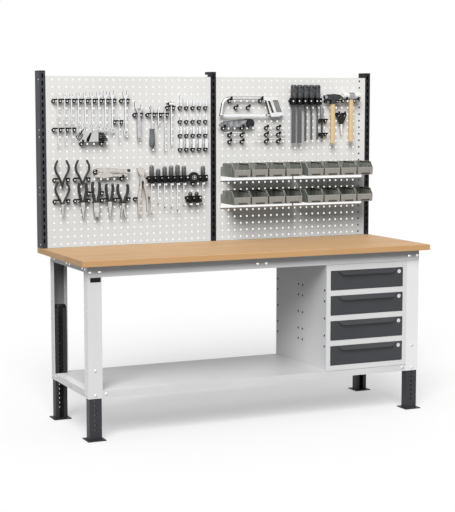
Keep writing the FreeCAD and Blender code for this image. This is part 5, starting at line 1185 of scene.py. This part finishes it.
def ridged(shade):
    along, across, up = shade.axes()
    ridges = (up * GRIP_RIDGES).apply("SINE").step(-0.2, 0.7)
    patches = shade.noise(90.0, 3.0, (1.0, 1.0, 1.6)).step(0.42, 0.60)
    worn_and_shaded = patches.blend(srgb(92, 93, 95), srgb(48, 49, 51))
    return (ridges * 0.55).blend(worn_and_shaded, srgb(44, 45, 47))


grip_dark = finish("file_grip", Base_Color=ridged,
                   Roughness=lambda s: s.noise(90.0) * 0.15 + 0.42,
                   Normal=lambda s: s.bump(s.noise(500.0), 0.0002, 0.6))


def cut_height(shade):
    along, across, up = shade.axes()
    teeth = ((along + up) * FILE_TEETH).apply("SINE")
    return shade.bump(teeth, 0.0001, 0.5)


file_steel = two_tone("cut_file", srgb(112, 113, 115), srgb(88, 89, 91), 120.0, 0.36,
                      Metallic=1.0, Normal=cut_height)
# The punches take painted shade on their flanks, and the chisel along its edges.
punch_bright = worn_metal("punch_steel", srgb(246, 246, 247), srgb(224, 225, 228), 0.20,
                          (1.0, 8.0, 8.0), flank_shade=0.75, band=(0.3, 0.75))
chisel_steel = worn_metal("chisel_steel", srgb(168, 169, 172), srgb(118, 119, 122), 0.32,
                          rim=0.8, rim_width=0.0025)
PUNCHES_RIGHT = (column(RIGHT_BAY, 10), column(RIGHT_BAY, 10.5))
PUNCHES_TOP = row(4) - 0.02
CHISEL_X = 0.670
CHISEL_HALF = 0.012
CHISEL_GROUND = row(6) + 0.008
FILE_GRIP_FOOT = row(3) - 0.029


def file_finish(at):
    if at.x < PUNCHES_RIGHT[0] or at.x < PUNCHES_RIGHT[1] and at.z < PUNCHES_TOP:
        return 2
    if abs(at.x - CHISEL_X) < CHISEL_HALF:
        return 3 if at.z > CHISEL_GROUND else 4
    return 0 if at.z > FILE_GRIP_FOOT else 1


dressed("files_and_punches",
        [grip_dark, file_steel, punch_bright, chisel_steel, black_socket], file_finish)


# Ring screws: each moulded ring of the files is held by a screw, whose head shows between grips.
# They are the zinc-plated heads of the wall.
RING_SEAT = 0.2465
ring_seats = [(column(RIGHT_BAY, number), RING_SEAT, row(3)) for number in range(11, 16)]
heads_on("file_ring_screws", ring_seats, [(0.0, -1.0, 0.0)] * len(ring_seats), bright_zinc)


# Hammers: an engineer's hammer with a dark forged head and a mallet with white faces.
# Both handles are pale ash, with the grain running down them.
def ash_colour(shade):
    grain = shade.noise(40.0, 4.0, (9.0, 9.0, 0.7), 0.6).step(0.35, 0.75)
    return grain.blend(srgb(244, 216, 168), srgb(222, 184, 132))


ash = finish("ash_handle", Base_Color=ash_colour,
             Roughness=lambda s: s.noise(60.0) * 0.1 + 0.42,
             Normal=lambda s: s.bump(s.noise(120.0, 2.0, (8.0, 8.0, 1.0)), 0.0002, 0.3))
forged = worn_metal("forged_head", srgb(74, 75, 78), srgb(58, 59, 62), 0.42)
# The hammer face takes painted shade on its flanks.
face_steel = worn_metal("hammer_face", srgb(170, 171, 174), srgb(150, 152, 155), 0.28, flank_shade=0.8)
mallet_face = two_tone("mallet_face", srgb(240, 240, 236), srgb(228, 228, 222), 40.0, 0.45,
                       (60.0, 0.1))
HAMMER_X = 0.732
HAMMER_HANDLE_HALF = 0.0135
HAMMER_SOCKET_LOW = 0.0199
HAMMER_FACE = 0.0385
MALLET_FROM = column(RIGHT_BAY, 19.3)
MALLET_X = column(RIGHT_BAY, 21)
MALLET_HANDLE_HALF = 0.0131
MALLET_BAND_HALF = 0.0182
MALLET_LIP = (-0.0005, 0.003)
HEAD_LOW = row(3) + 0.0081


def hammer_finish(at):
    if at.x < MALLET_FROM:
        if abs(at.x - HAMMER_X) < HAMMER_HANDLE_HALF and at.z < HEAD_LOW - HAMMER_SOCKET_LOW:
            return 0
        return 2 if at.x < HAMMER_X - HAMMER_FACE else 1
    beside = abs(at.x - MALLET_X)
    rise = at.z - HEAD_LOW
    if rise < MALLET_LIP[0] or beside < MALLET_HANDLE_HALF and rise < MALLET_LIP[1]:
        return 0
    return 2 if beside < MALLET_BAND_HALF else 3


dressed("hammers", [ash, forged, face_steel, mallet_face], hammer_finish)


# Hand cutter and scissors: cast alloy body with a dark head; black loops and bright blades.
# The cutter lies on two hooks with turned-up tips, and the scissors hang by their loops.
CUTTER_HEAD = column(RIGHT_BAY, 0) + 0.131
SCISSORS_FROM = column(RIGHT_BAY, 10)
SCISSORS_YOKE = row(5) - 0.054


def cutter_finish(at):
    if at.x < SCISSORS_FROM:
        return int(at.x > CUTTER_HEAD)
    return 1 if at.z > SCISSORS_YOKE else 2


# The cutter body takes painted shade on its flanks and along its edges.
cutter_alloy = worn_metal("cutter_alloy", srgb(172, 173, 175), srgb(104, 105, 107), 0.30,
                          flank_shade=0.92, band=(0.62, 0.93), rim=0.95, rim_width=0.005)
dressed("cutters", [cutter_alloy, black_socket, satin_chrome], cutter_finish)


# Floor: a plain white sheet that only keeps the soft shadow of the bench.
# The camera and polished metal see it white, and it throws little light back on the bench.
REACH = 60.0
FLOOR_LEVEL = -0.0005
FLOOR_BOUNCE = (0.20, 0.20, 0.20, 1.0)
FLOOR_GLOW = 0.45


def floor_colour(shade):
    return shade.noise(0.6, 1.0).blend(grey(250), grey(248))


floor_white = finish("floor_white", Base_Color=floor_colour,
                     Roughness=lambda s: s.noise(1.0, 1.0) * 0.05 + 0.9)
floor_nodes = floor_white.node_tree.nodes
floor_links = floor_white.node_tree.links
floor_dim = floor_nodes.new("ShaderNodeBsdfDiffuse")
floor_dim.inputs["Color"].default_value = FLOOR_BOUNCE
floor_glow = floor_nodes.new("ShaderNodeEmission")
floor_lit = floor_nodes.new("ShaderNodeMixShader")
floor_lit.inputs["Fac"].default_value = FLOOR_GLOW
floor_links.new(floor_nodes["Principled BSDF"].outputs[0], floor_lit.inputs[1])
floor_links.new(floor_glow.outputs[0], floor_lit.inputs[2])
seen_as(floor_white.node_tree, floor_dim, floor_lit, floor_nodes["Material Output"])
floor_mesh = bpy.data.meshes.new("floor")
corners = [(x * REACH, y * REACH, FLOOR_LEVEL) for x, y in ((-1, -1), (1, -1), (1, 1), (-1, 1))]
floor_mesh.from_pydata(corners, [], [(0, 1, 2, 3)])
floor_mesh.materials.append(floor_white)
floor = placed("floor", floor_mesh)
floor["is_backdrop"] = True

low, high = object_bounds()
